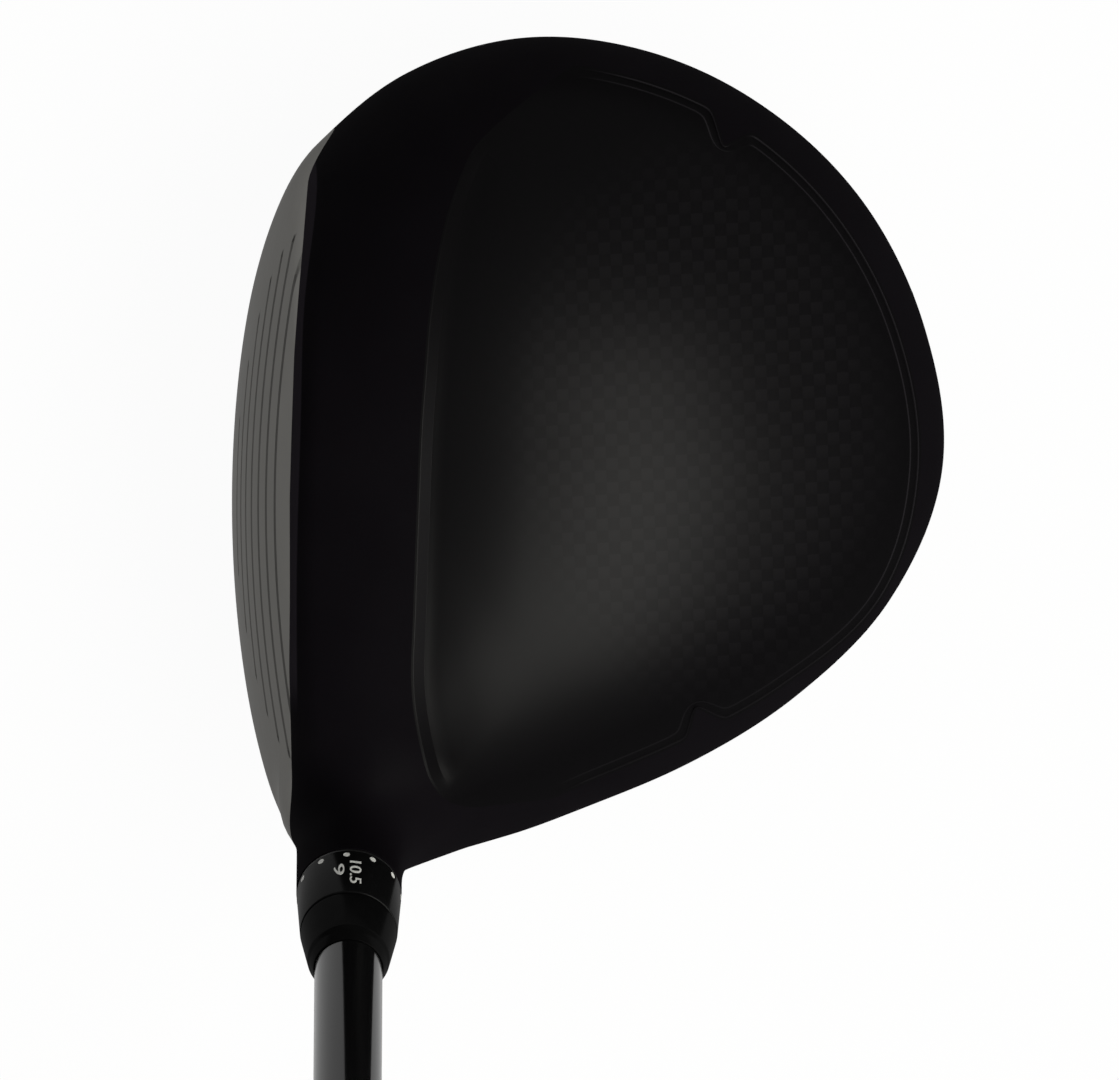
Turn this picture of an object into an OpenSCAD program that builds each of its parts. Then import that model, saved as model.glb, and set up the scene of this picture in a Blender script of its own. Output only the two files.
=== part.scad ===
// Golf driver for a right-handed player, posed at address with its sole on the ground.
// +X runs from the face to the rear, +Y from heel to toe, +Z up. The origin is where hands hold the grip.

/* [Head] */
// Height of the crown's top above the ground
head_h = 58; // [54:0.5:64]
// Height of the widest line at the toe and heel
skirt_side_z = 28; // [26:0.5:30]
// Height of the widest line at the rear
skirt_rear_z = 24; // [21:0.5:27]
// Wall of the hollow frame
wall_t = 1.6; // [1.2:0.1:2.2]
// Loft of the face from upright
loft = 9.5; // [8:0.5:13]
// Bulge and roll radius of the face
face_r = 260; // [240:5:330]
// How far the frame's painted edge reaches in round the face plate
face_rim = 2.2; // [1.6:0.1:3]
// Thickness of the face plate
face_t = 3; // [2.4:0.1:3.6]
// Thickness of the lip that the face plate is welded to
face_lip_t = 1.5; // [1:0.1:2.5]
// Width of that lip
face_lip_w = 2.5; // [1.5:0.1:4]
// Number of score lines
score_count = 7; // [5:1:8]
// Distance between score lines
score_pitch = 6.1; // [4.6:0.1:6.2]
// Width of a score line
score_w = 0.9; // [0.6:0.1:1.2]
// Depth of a score line
score_depth = 0.35; // [0.2:0.05:0.5]

/* [Crown panel] */
// Thickness of the composite panel
panel_t = 1; // [0.8:0.1:1.2]
// Width of the groove along the panel's sides and rear
groove_w = 1.25; // [0.8:0.05:1.6]
// Depth of that groove
groove_depth = 0.35; // [0.2:0.05:0.5]
// Width of the frame's ledge under the panel's edge
ledge_w = 6; // [4:0.5:9]
// Bond line between the panel and its ledge
bond_gap = 0.05; // [0.03:0.01:0.1]
// Drop of the panel's surface behind the front of the frame
step_h = 0.8; // [0.5:0.1:0.9]
// Width of the bevel that makes the drop
step_w = 1.7; // [1.2:0.1:2.4]
// How far each locating notch runs into the panel
notch_depth = 2.9; // [2:0.1:3.5]

/* [Hosel] */
// Distance of the hosel's axis behind the leading edge
hosel_x = 16.1; // [15:0.1:18]
// Distance of the hosel's mouth on the heel side of the face's middle
mouth_y = 53.7; // [52:0.1:56]
// Drop of the hosel's mouth below the crown's top
mouth_drop = 6; // [3:0.5:8]
// Lie of the hosel from the ground
hosel_lie = 59.5; // [57:0.5:61]
// Wall of the hosel round its tube
hosel_wall = 0.55; // [0.5:0.05:1]
// Wall of the tube that lines the hosel, round the stem
tube_wall = 1; // [0.95:0.05:1.1]
// Length of the splines
spline_l = 5; // [4:0.5:6]
// Number of spline positions
spline_count = 12; // [8:1:12]
// Height of a spline tooth
spline_h = 0.5; // [0.3:0.05:0.55]
// Radius of the port for the wrench
port_r = 4.8; // [4.6:0.1:5.2]
// Thickness of the flange that the hosel screw pulls against
seat_t = 3; // [2:0.5:4]

/* [Sleeve and ferrule] */
// Wall of the sleeve's stem round the shaft
stem_wall = 1.05; // [1:0.05:1.1]
// Running gap between the stem and the tube
stem_gap = 0.05; // [0.03:0.01:0.08]
// Depth of the stem below the hosel's mouth
stem_l = 30; // [28:0.5:31]
// Length of the sleeve that shows above the hosel
sleeve_l = 10; // [8:0.5:12]
// How far the sleeve's foot stands out beyond its stem
sleeve_step = 1.5; // [1.3:0.05:1.6]
// How much the sleeve's radius shrinks to its top
sleeve_taper = 0.5; // [0.3:0.05:0.7]
// Angle of the shaft's bore off the sleeve's own axis
sleeve_tilt = 1; // [0.5:0.25:1.25]
// Thickness of the compression ring
ring_t = 0.6; // [0.4:0.1:1]
// Length of the ferrule's long cone
ferrule_l = 6.9; // [5:0.1:10]
// Length of the ferrule's closing lip
ferrule_lip = 2.3; // [1.5:0.1:3]
// Wall of the ferrule round the shaft where the lip starts
ferrule_wall = 1; // [0.7:0.05:1.3]

/* [Screws and weight] */
// Radius of the hosel screw's thread
screw_r = 2.5; // [2:0.1:2.8]
// Radius of the hosel screw's head
screw_head_r = 4.2; // [3.9:0.1:4.4]
// Height of the hosel screw's head
screw_head_h = 4; // [3:0.5:5]
// Depth of the thread in the sleeve
thread_l = 8; // [6:0.5:8.5]
// Thickness of the washer under the screw's head
washer_t = 1; // [0.8:0.1:1.5]
// Radius of the rear weight
weight_r = 7.2; // [6:0.1:8]
// Height of the rear weight
weight_h = 5.2; // [4.6:0.1:7]
// Wall of the port that holds the weight
weight_wall = 1.3; // [1:0.1:1.8]
// Distance of the weight behind the leading edge
weight_x = 78; // [70:0.5:80]
// Radius of the weight's bolt
bolt_r = 2; // [1.5:0.1:2.5]

/* [Shaft and grip] */
// Length of the club along the shaft, from the ground to the end of the cap
club_l = 1149; // [1100:1:1170]
// Radius of the shaft's parallel tip
tip_r = 4.7; // [4.6:0.05:4.75]
// Wall of the shaft at its tip
tip_wall = 1.8; // [1.4:0.1:2.2]
// Radius of the shaft at its butt
butt_r = 7.62; // [7.2:0.02:7.9]
// Wall of the shaft at its butt
butt_wall = 1; // [0.8:0.1:1.4]
// Depth of the shaft in the sleeve
shaft_seat = 30; // [26:0.5:31]
// Length of the parallel tip above the ferrule
tip_l = 65; // [40:1:120]
// Length of the grip with its cap
grip_l = 270; // [250:1:285]
// Wall of the grip at its mouth
grip_mouth_t = 0.9; // [0.7:0.1:1.5]
// Radius of the grip just below its cap
grip_r = 12.2; // [11.5:0.1:13]
// Radius of the cap
cap_r = 13.4; // [13.2:0.1:14]
// Thickness of the cap
cap_t = 5; // [4:0.5:7]
// Radius of the vent hole in the cap
vent_r = 1.5; // [1:0.1:2.5]
// Thickness of the tape under the grip
tape_t = 0.3; // [0.2:0.05:0.5]

/* [Hidden] */
$fn = 72;
// Room for cuts to run past the solids that they cut
past = 1;
// Centre of the head's plan, where the crown is highest
centre = [24, 5];
// Distance of the widest line from the centre every 15 degrees, anticlockwise from the rear
plan_r = [74.4, 74.6, 73.5, 70.8, 67, 62, 55, 47, 41.5, 41, 41.5, 42,
    42, 42, 43, 45, 49, 54, 54, 52.8, 53.4, 57, 62.7, 69.6];
// Distance of the groove inside the widest line every 15 degrees
seam_inset = [3.4, 3.8, 4.2, 4.3, 4.5, 4.2, 4, 4, 4, 4, 4, 4,
    4, 4, 4, 4, 4, 4, 3, 2.7, 3.4, 3.5, 2.6, 1.4];
// Foot of the front step, from toe to heel
step_line = [[37.6, 54.2], [32.4, 46.8], [28.6, 34], [26.6, 15], [25.7, -5], [25.1, -20], [26.1, -33], [28.7, -42.5]];
// Notches: angle of the end nearest the rear, of the tip and of the end nearest the face
toe_notch = [44.6, 46, 50];
heel_notch = [-38.4, -40, -44.3];
// Shape of the crown's arch: fuller at the toe and heel, leaner toward the rear
crown_round = 2.2;
crown_side = 0.55;
crown_rear = 0.72;
sole_round = 2.7;
sole_power = 0.52;
dome_sides = 48;
dome_rings = 8;
// The flat faces of the sole lie this far inside the smooth curve at most
facet_room = 0.6;

// Value at a turn of 0 to 1 on a smooth closed curve through evenly spaced values
function on_loop(list, turn) =
    let (n = len(list), u = (turn - floor(turn)) * n, i = floor(u), t = u - i,
        p = [for (k = [-1:2]) list[(i + k + n) % n]])
    0.5 * (2 * p[1] + (p[2] - p[0]) * t + (2 * p[0] - 5 * p[1] + 4 * p[2] - p[3]) * t * t
        + (3 * p[1] - p[0] - 3 * p[2] + p[3]) * t * t * t);
// Points on a smooth open curve through a list of points
function along(list, steps) = [
    for (i = [0:len(list) - 2], k = [0:steps - 1])
        let (t = k / steps, a = list[max(i - 1, 0)], b = list[i], c = list[i + 1],
            d = list[min(i + 2, len(list) - 1)])
        0.5 * (2 * b + (c - a) * t + (2 * a - 5 * b + 4 * c - d) * t * t + (3 * b - a - 3 * c + d) * t * t * t),
    list[len(list) - 1]];
function smooth(t) = let (c = min(max(t, 0), 1)) c * c * (3 - 2 * c);

function plan_at(angle) = on_loop(plan_r, angle / 360);
// How far an angle points to the rear, from 0 at the sides to 1
function rearward(angle) = pow((1 + cos(angle)) / 2, 2);
function skirt_z(angle) = skirt_side_z + (skirt_rear_z - skirt_side_z) * rearward(angle);
function arch(angle, share) = pow(max(1 - pow(share, crown_round), 0),
    crown_side + (crown_rear - crown_side) * rearward(angle));
// Heights of the crown and sole at an angle and at a share of the way out, inset by a wall
function crown_of(angle, share, inset = 0) =
    skirt_z(angle) + (head_h - inset - skirt_z(angle)) * arch(angle, share);
function sole_of(angle, share, inset = 0) =
    skirt_z(angle) - (skirt_z(angle) - inset) * pow(max(1 - pow(share, sole_round), 0), sole_power);
function angle_of(p) = atan2(p[1] - centre[1], p[0] - centre[0]);
function share_of(p) = min(norm([p[0], p[1]] - centre) / plan_at(angle_of(p)), 1);
function crown_z(p) = crown_of(angle_of(p), share_of(p));
function sole_z(p) = sole_of(angle_of(p), share_of(p));
function polar(angle, r) = centre + r * [cos(angle), sin(angle)];

// Face: a ball whose front is the bulged and rolled face
face_mid = [3, 3, skirt_side_z];
face_normal = [-cos(loft), 0, sin(loft)];
ball_centre = face_mid - face_r * face_normal;
function face_x(y, z, depth = 0) =
    ball_centre[0] - sqrt(pow(face_r - depth, 2) - pow(y - ball_centre[1], 2) - pow(z - ball_centre[2], 2));

// Outline of the crown panel, grown by one amount at the groove and another at the step
function notch_at(angle, n) =
    notch_depth * max(0, 1 - (angle - n[1]) / ((angle > n[1] == n[0] > n[1] ? n[0] : n[2]) - n[1]));
function seam_at(angle) =
    plan_at(angle) - on_loop(seam_inset, angle / 360) - notch_at(angle, toe_notch) - notch_at(angle, heel_notch);
seam_angles = concat([for (a = [-72:4:-48]) a], [-44.3, -42, -40, -38.4], [for (a = [-36:4:40]) a],
    [44.6, 46, 48, 50], [for (a = [54:4:72]) a]);
function panel_outline(at_groove, at_step) = concat(
    [for (a = seam_angles) polar(a, seam_at(a) - groove_w + at_groove)],
    [for (p = along(step_line, 3)) p - [at_step, 0]]);
panel_mid = [60, 8];
// The rim is thicker than the rest by the height of the step, so that it lies flush and still meets its ledge
panel_rim_t = panel_t + step_h;

// Hosel axis and shaft axis, with the radii that grow outward from the shaft's tip
stem_r = tip_r + stem_wall;
tube_r = stem_r + tube_wall;
hosel_r = tube_r + hosel_wall;
sleeve_r = stem_r + sleeve_step;
sleeve_top_r = sleeve_r - sleeve_taper;
ferrule_r = tip_r + ferrule_wall;
mouth_z = head_h - mouth_drop;
hosel_dir = [0, -cos(hosel_lie), sin(hosel_lie)];
mouth = [hosel_x, -mouth_y, mouth_z];
// Height above the mouth where the two axes cross
cross_w = ring_t + sleeve_l / 2;
shaft_lie = hosel_lie - sleeve_tilt;
shaft_dir = [0, -cos(shaft_lie), sin(shaft_lie)];
axes_cross = mouth + cross_w * hosel_dir;
// Distance from the ground to the crossing, along the axis
ground_l = axes_cross[2] / sin(shaft_lie);
sleeve_end_v = sleeve_l / 2;
shaft_foot_v = sleeve_end_v - shaft_seat;
butt_v = club_l - ground_l;
grip_foot_v = butt_v - grip_l;
grip_hold = axes_cross + (butt_v - grip_l / 2) * shaft_dir;

// Foot of the hosel's tube: the highest place where its whole rim is inside the sole, found in a few rounds
function rim_at(w, turn) = mouth + w * hosel_dir
    + tube_r * [cos(turn), sin(turn) * sin(hosel_lie), sin(turn) * cos(hosel_lie)];
function inside_w(w) = max([for (turn = [0:30:330]) let (p = rim_at(w, turn))
    w + (sole_z(p) + facet_room - p[2]) / sin(hosel_lie)]);
function settle(w, rounds) = rounds == 0 ? w : settle(inside_w(w), rounds - 1);
settle_rounds = 6;
port_w = settle(-head_h, settle_rounds);
// Bottom of the flange, with room between its top and the sleeve's foot
stem_room = 1.7;
seat_w = -stem_l - stem_room - seat_t;
// Free length of the splines at each end
spline_room = 0.5;
spline_top_w = -spline_room;
spline_foot_w = spline_top_w - spline_l - spline_room;
thread_foot_w = -stem_l;

// Rear weight: its port stands square to the sole
weight_at = [weight_x, centre[1]];
sole_step = 6;
weight_lean = atan((sole_z(weight_at + [sole_step, 0]) - sole_z(weight_at - [sole_step, 0])) / (2 * sole_step));
// The sole falls away from its tangent by this much at the port's edge
function sole_drop(d) = sole_z(weight_at + d) - sole_z(weight_at) - d[0] * tan(weight_lean);
weight_edge = weight_r + weight_wall;
weight_sink = facet_room + max([for (d = [[1, 0], [-1, 0], [0, 1], [0, -1]]) sole_drop(weight_edge * d)])
    * cos(weight_lean);
weight_base = 2.6;
weight_gap = 0.1;
bolt_head_r = 3.9;
bolt_head_h = 2.6;
// Star sockets: radius and depth as shares of the screw's head, half width of a lobe as a share of the radius
socket_share = 0.6;
socket_depth = 0.65;
socket_lobe = 0.36;
// Ring that keeps the hosel screw in the head, in a chamber that is narrower than the port below it
retainer_t = 1.1;
retainer_gap = 0.1;
chamber_step = 0.3;
chamber_r = port_r - chamber_step;
chamber_l = retainer_t + retainer_gap + screw_head_h + washer_t;
retainer_share = 0.78;
// How far rings stop short of the edge of what they lie on
edge_inset = 0.1;
// How far the tape starts inside the grip's mouth
tape_start = 2;

module on_hosel(w = 0) translate(mouth) rotate([90 - hosel_lie, 0, 0]) translate([0, 0, w]) children();
module on_shaft(v = 0) on_hosel(cross_w) rotate([sleeve_tilt, 0, 0]) translate([0, 0, v]) children();
// Local +Z runs from the sole's surface into the head
module on_weight() translate([each weight_at, sole_z(weight_at)]) rotate([0, -weight_lean, 0])
    translate([0, 0, weight_sink]) children();
module in_hand() translate(-grip_hold) children();
module tube(r, bore, l) difference() {
    cylinder(r = r, h = l);
    translate([0, 0, -past]) cylinder(r = bore, h = l + 2 * past);
}
module star_socket(r, depth) for (k = [0:2]) rotate(60 * k)
    translate([-r, -r * socket_lobe, 0]) cube([2 * r, 2 * r * socket_lobe, depth]);

// Closed lens of the head's outer form, shrunk by a wall
module dome(inset = 0) {
    shares = [for (j = [1:dome_rings]) sin(90 * j / dome_rings)];
    angles = [for (i = [0:dome_sides - 1]) 360 * i / dome_sides];
    crown = [for (s = shares, a = angles) [each polar(a, s * (plan_at(a) - inset)), crown_of(a, s, inset)]];
    sole = [for (j = [dome_rings - 2:-1:0], a = angles)
        [each polar(a, shares[j] * (plan_at(a) - inset)), sole_of(a, shares[j], inset)]];
    points = concat([[each centre, head_h - inset]], crown, sole, [[each centre, inset]]);
    rows = 2 * dome_rings - 1;
    function at(row, i) = 1 + row * dome_sides + i % dome_sides;
    faces = concat(
        [for (i = [0:dome_sides - 1]) [0, at(0, i + 1), at(0, i)]],
        [for (row = [0:rows - 2], i = [0:dome_sides - 1], half = [0, 1])
            half == 0 ? [at(row, i), at(row, i + 1), at(row + 1, i + 1)]
                : [at(row, i), at(row + 1, i + 1), at(row + 1, i)]],
        [for (i = [0:dome_sides - 1]) [len(points) - 1, at(rows - 1, i), at(rows - 1, i + 1)]]);
    polyhedron(points, faces);
}

module face_ball(depth = 0) translate(ball_centre) sphere(r = face_r - depth, $fn = 240);

module panel_area(at_groove, at_step, shrink = 0)
    linear_extrude(head_h + 4 * past) offset(delta = -shrink) polygon(panel_outline(at_groove, at_step));

// Trumpet that blends the hosel into the crown: straight on the heel side, flared toward the head
neck_l = 38;
module neck() {
    flare = 16;
    steps = 7;
    lean = 0.55;
    power = 1.9;
    thin = 0.01;
    function neck_r(t) = hosel_r + flare * pow(t, power);
    module disc(t) on_hosel(-neck_l * t) translate([lean * (neck_r(t) - hosel_r), neck_r(t) - hosel_r, -thin])
        cylinder(r = neck_r(t), h = thin, $fn = 36);
    for (k = [0:steps - 1]) hull() {
        disc(k / steps);
        disc((k + 1) / steps);
    }
}

// Room for the hosel's wall, kept clear of the face plate
module beside_hosel(gap = 0) on_hosel(port_w) cylinder(r = hosel_r + gap, h = -port_w);

module head_frame() color([0.05, 0.05, 0.055]) {
    difference() {
        intersection() {
            union() {
                dome();
                neck();
                on_hosel(-neck_l) cylinder(r = hosel_r - edge_inset, h = neck_l - past);
            }
            // The face's cut passes behind the hosel's mouth, which stays whole
            union() {
                face_ball();
                on_hosel(-neck_l) cylinder(r = hosel_r + past, h = neck_l + past);
            }
        }
        intersection() {
            dome(wall_t + panel_t);
            face_ball(face_t + face_lip_t);
        }
        difference() {
            panel_area(groove_w, 0);
            dome(groove_depth);
        }
        difference() {
            panel_area(0, bond_gap);
            dome(panel_rim_t + bond_gap);
        }
        translate([0, 0, skirt_side_z]) panel_area(0, 0, ledge_w);
        difference() {
            dome(face_rim);
            face_ball(face_t + bond_gap);
            beside_hosel();
        }
        difference() {
            dome(face_rim + face_lip_w);
            face_ball(face_t + face_lip_t + past);
            beside_hosel();
        }
        on_hosel(port_w - 4 * tube_r) cylinder(r = tube_r + bond_gap, h = 5 * tube_r - port_w);
        on_weight() translate([0, 0, -4 * past])
            cylinder(r = weight_edge + bond_gap, h = weight_h + 9 * past);
    }
}

module face_plate() {
    // Score lines end short of the plate's edge and are longest at the top
    score_longest = 37.4;
    score_curve = 0.0155;
    score_rise = 16.4;
    // Middle of the score lines, off the face's middle toward the heel and the ground
    score_shift = [-1.8, -1.8];
    function score_half(z) = score_longest - score_curve * pow(z - face_mid[2] - score_rise, 2);
    color([0.34, 0.335, 0.32]) difference() {
        intersection() {
            dome(face_rim + bond_gap);
            difference() {
                face_ball();
                face_ball(face_t);
            }
            translate([-head_h, -2 * head_h, 0]) cube([head_h + centre[0] - past, 4 * head_h, 2 * head_h]);
        }
        beside_hosel(bond_gap);
        difference() {
            for (i = [0:score_count - 1]) {
                z = face_mid[2] + score_shift[1] + (i - (score_count - 1) / 2) * score_pitch;
                translate([-head_h, face_mid[1] + score_shift[0] - score_half(z), z - score_w / 2])
                    cube([head_h + centre[0], 2 * score_half(z), score_w]);
            }
            face_ball(score_depth);
        }
    }
}

// Skin whose front edge ramps down in a bevelled step, which fades at the toe and heel
module crown_panel() {
    shares = [0.3, 0.58, 0.8, 0.92, 1];
    edge = panel_outline(-bond_gap, -bond_gap);
    foot = panel_outline(-bond_gap - step_w, -bond_gap - step_w);
    n = len(edge);
    sides = len(seam_angles);
    last = n - 1 - sides;
    fade_rows = 5;
    function drop(i) = i < sides ? 0 : step_h * smooth(min(i - sides, last - i + sides) / fade_rows);
    function inner(i, s) = panel_mid + s * (foot[i] - panel_mid);
    function top_z(i, s) = crown_z(inner(i, s)) - drop(i) * smooth(s);
    function under_z(i, s) = s < 0.9 ? top_z(i, s) - panel_t : crown_z(inner(i, s)) - panel_rim_t;
    points = concat([[each panel_mid, crown_z(panel_mid)]],
        [for (s = shares, i = [0:n - 1]) [each inner(i, s), top_z(i, s)]],
        [for (e = edge) [each e, crown_z(e)]],
        [[each panel_mid, crown_z(panel_mid) - panel_t]],
        [for (s = shares, i = [0:n - 1]) [each inner(i, s), under_z(i, s)]],
        [for (e = edge) [each e, crown_z(e) - panel_rim_t]]);
    rows = len(shares) + 1;
    half = 1 + n * rows;
    function at(row, i) = 1 + row * n + i % n;
    top = concat([for (i = [0:n - 1]) [0, at(0, i + 1), at(0, i)]],
        [for (row = [0:rows - 2], i = [0:n - 1], k = [0, 1])
            k == 0 ? [at(row, i), at(row, i + 1), at(row + 1, i + 1)]
                : [at(row, i), at(row + 1, i + 1), at(row + 1, i)]]);
    under = [for (f = top) [half + f[0], half + f[2], half + f[1]]];
    rim = [for (i = [0:n - 1], k = [0, 1]) let (r = rows - 1)
        k == 0 ? [at(r, i), at(r, i + 1), half + at(r, i + 1)] : [at(r, i), half + at(r, i + 1), half + at(r, i)]];
    color([0.07, 0.07, 0.075]) polyhedron(points, concat(top, under, rim));
}

module hosel_tube() color([0.5, 0.5, 0.52]) on_hosel() difference() {
    translate([0, 0, port_w]) cylinder(r = tube_r, h = spline_foot_w - port_w);
    translate([0, 0, seat_w + seat_t]) cylinder(r = stem_r + stem_gap, h = -seat_w);
    translate([0, 0, port_w - past]) cylinder(r = screw_r + 2 * bond_gap, h = -port_w);
    translate([0, 0, head_foot_w - retainer_gap - retainer_t]) cylinder(r = chamber_r, h = chamber_l);
    translate([0, 0, port_w - past]) cylinder(r = port_r, h = seat_w - chamber_l - port_w + past);
}

// Teeth of the splines, as a flat star between two radii
module spline_star(root, tip, width) {
    circle(r = root);
    for (k = [0:spline_count - 1]) rotate(360 * k / spline_count)
        translate([0, -width / 2]) square([tip, width]);
}
spline_w = PI * stem_r / spline_count;

module spline_ring() color([0.55, 0.55, 0.57]) on_hosel(spline_foot_w)
    linear_extrude(spline_top_w - spline_foot_w) difference() {
        circle(r = tube_r);
        spline_star(stem_r + stem_gap, stem_r + spline_h + 2 * stem_gap, spline_w + 2 * stem_gap);
    }

module screw_washer() color([0.6, 0.6, 0.62]) on_hosel(seat_w - washer_t)
    tube(screw_head_r, screw_r + 2 * bond_gap, washer_t);

head_foot_w = seat_w - washer_t - screw_head_h;

module screw_retainer() color([0.12, 0.12, 0.12]) on_hosel(head_foot_w - retainer_t - retainer_gap)
    tube(chamber_r, screw_head_r * retainer_share, retainer_t);

module hosel_screw() color([0.35, 0.35, 0.37]) on_hosel(head_foot_w) difference() {
    union() {
        cylinder(r = screw_head_r, h = screw_head_h);
        cylinder(r = screw_r, h = thread_foot_w + thread_l - past - head_foot_w);
    }
    translate([0, 0, -past]) star_socket(screw_head_r * socket_share, past + screw_head_h * socket_depth);
}

module weight_port() color([0.45, 0.45, 0.47]) on_weight() difference() {
    cylinder(r = weight_edge, h = weight_h + weight_base + weight_gap);
    translate([0, 0, -past]) cylinder(r = weight_r + weight_gap, h = weight_h + weight_gap + past);
    cylinder(r = bolt_r + weight_gap / 2, h = weight_h + weight_base + past);
}

module rear_weight() color([0.3, 0.3, 0.31]) on_weight() difference() {
    translate([0, 0, weight_gap / 2]) cylinder(r = weight_r, h = weight_h);
    translate([0, 0, -past]) cylinder(r = bolt_head_r + weight_gap, h = bolt_head_h + past + weight_gap);
    cylinder(r = bolt_r + weight_gap, h = weight_h + past);
}

module weight_bolt() color([0.4, 0.4, 0.42]) on_weight() difference() {
    union() {
        translate([0, 0, weight_gap]) cylinder(r = bolt_head_r, h = bolt_head_h);
        cylinder(r = bolt_r, h = weight_h + weight_base - 3 * weight_gap);
    }
    translate([0, 0, -past]) star_socket(bolt_head_r * socket_share, past + bolt_head_h * socket_depth);
}

module compression_ring() color([0.1, 0.1, 0.1]) on_hosel()
    tube(sleeve_r - edge_inset, stem_r + stem_gap, ring_t);

module loft_sleeve() color([0.06, 0.06, 0.065]) difference() {
    intersection() {
        on_hosel() union() {
            translate([0, 0, ring_t]) cylinder(r1 = sleeve_r, r2 = sleeve_top_r, h = sleeve_l + past);
            translate([0, 0, thread_foot_w]) cylinder(r = stem_r, h = stem_l + 2 * ring_t);
            translate([0, 0, spline_foot_w + spline_room]) linear_extrude(spline_l)
                spline_star(stem_r, stem_r + spline_h, spline_w);
        }
        // The top is square to the shaft
        on_shaft(sleeve_end_v - 4 * stem_l) cylinder(r = 3 * sleeve_r, h = 4 * stem_l);
    }
    on_shaft(shaft_foot_v) cylinder(r = tip_r + bond_gap, h = shaft_seat + past);
    on_hosel(thread_foot_w - past) cylinder(r = screw_r + bond_gap, h = thread_l + past);
}

module ferrule() color([0.03, 0.03, 0.03]) on_shaft(sleeve_end_v) rotate_extrude() polygon([
    [tip_r + bond_gap, 0],
    [sleeve_top_r - edge_inset, 0],
    [ferrule_r, ferrule_l],
    [tip_r + bond_gap + edge_inset, ferrule_l + ferrule_lip],
    [tip_r + bond_gap, ferrule_l + ferrule_lip]]);

shaft_end_v = butt_v - cap_t;
taper_foot_v = sleeve_end_v + ferrule_l + ferrule_lip + tip_l;
taper_end_v = grip_foot_v - 2 * cap_t;

module shaft() color([0.04, 0.04, 0.045]) on_shaft() rotate_extrude() polygon([
    [tip_r - tip_wall, shaft_foot_v],
    [tip_r, shaft_foot_v],
    [tip_r, taper_foot_v],
    [butt_r, taper_end_v],
    [butt_r, shaft_end_v],
    [butt_r - butt_wall, shaft_end_v],
    [butt_r - butt_wall, taper_end_v],
    [tip_r - tip_wall, taper_foot_v]]);

module grip_tape() color([0.85, 0.83, 0.75]) on_shaft(grip_foot_v + tape_start)
    tube(butt_r + tape_t, butt_r, shaft_end_v - grip_foot_v - tape_start);

// Rubber sleeve: a thin mouth, a long taper and a flare up to the cap
bore_r = butt_r + tape_t;
mouth_round = grip_mouth_t / 2;
flare_l = 4 * cap_t;
module grip() color([0.06, 0.06, 0.06]) on_shaft(grip_foot_v) rotate_extrude() polygon([
    [bore_r, 0],
    [bore_r + grip_mouth_t - mouth_round, 0],
    [bore_r + grip_mouth_t, mouth_round],
    [grip_r, grip_l - flare_l],
    [cap_r - 2 * edge_inset, grip_l - cap_t],
    [bore_r, grip_l - cap_t]]);

// The cap's edge is rounded over the outer part of its thickness
cap_round = 0.6 * cap_t;
module grip_cap() color([0.05, 0.05, 0.05]) on_shaft(shaft_end_v) rotate_extrude() difference() {
    union() {
        square([cap_r, cap_t - cap_round]);
        square([cap_r - cap_round, cap_t]);
        translate([cap_r - cap_round, cap_t - cap_round]) circle(r = cap_round);
    }
    translate([0, -cap_t]) square([2 * cap_r, cap_t]);
    square([vent_r, 2 * cap_t]);
}

in_hand() head_frame();
in_hand() face_plate();
in_hand() crown_panel();
in_hand() hosel_tube();
in_hand() spline_ring();
in_hand() screw_washer();
in_hand() screw_retainer();
in_hand() hosel_screw();
in_hand() weight_port();
in_hand() rear_weight();
in_hand() weight_bolt();
in_hand() compression_ring();
in_hand() loft_sleeve();
in_hand() ferrule();
in_hand() shaft();
in_hand() grip_tape();
in_hand() grip();
in_hand() grip_cap();
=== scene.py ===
"""Golf driver at address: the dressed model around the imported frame."""

import logging
import math
from collections.abc import Callable
from dataclasses import dataclass, field
from enum import Enum

import bpy
import numpy as np
from mathutils import Matrix, Vector


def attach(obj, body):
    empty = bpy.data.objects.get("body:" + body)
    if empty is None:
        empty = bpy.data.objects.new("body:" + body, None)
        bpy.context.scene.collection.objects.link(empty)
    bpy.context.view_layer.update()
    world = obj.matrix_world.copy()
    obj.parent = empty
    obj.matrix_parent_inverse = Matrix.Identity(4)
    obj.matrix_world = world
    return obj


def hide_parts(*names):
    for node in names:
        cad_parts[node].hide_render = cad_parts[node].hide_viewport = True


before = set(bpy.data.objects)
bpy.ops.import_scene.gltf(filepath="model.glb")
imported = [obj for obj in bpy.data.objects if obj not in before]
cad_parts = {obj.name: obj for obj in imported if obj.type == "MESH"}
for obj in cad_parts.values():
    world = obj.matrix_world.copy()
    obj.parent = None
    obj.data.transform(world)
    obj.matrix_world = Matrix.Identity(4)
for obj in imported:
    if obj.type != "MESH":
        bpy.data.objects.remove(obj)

Array = np.ndarray
Piece = bpy.types.Object
Material = bpy.types.Material
Faces = list[tuple[int, ...]]
Pair = tuple[float, float]
Triple = tuple[float, float, float]

LOG = logging.getLogger("driver")
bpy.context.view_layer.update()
MM = 0.001
ACROSS = np.array([1.0, 0.0, 0.0])
WHITE = (1.0, 1.0, 1.0, 1.0)
BUMP, FINE_BUMP = 0.0001, 0.00005


class Body(Enum):
    """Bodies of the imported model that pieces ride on."""

    HEAD = "head"
    RING = "ring"
    SHAFT = "club_shaft"


def ramp(value: Array, start: float, length: float) -> Array:
    """Eased 0 to 1 from a start over a length."""
    c = np.clip((value - start) / length, 0.0, 1.0)
    return c * c * (3.0 - 2.0 * c)


def unit(v: Array) -> Array:
    """Vectors scaled to length one along the last axis."""
    return v / np.maximum(np.linalg.norm(v, axis=-1, keepdims=True), 1e-12)


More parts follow.
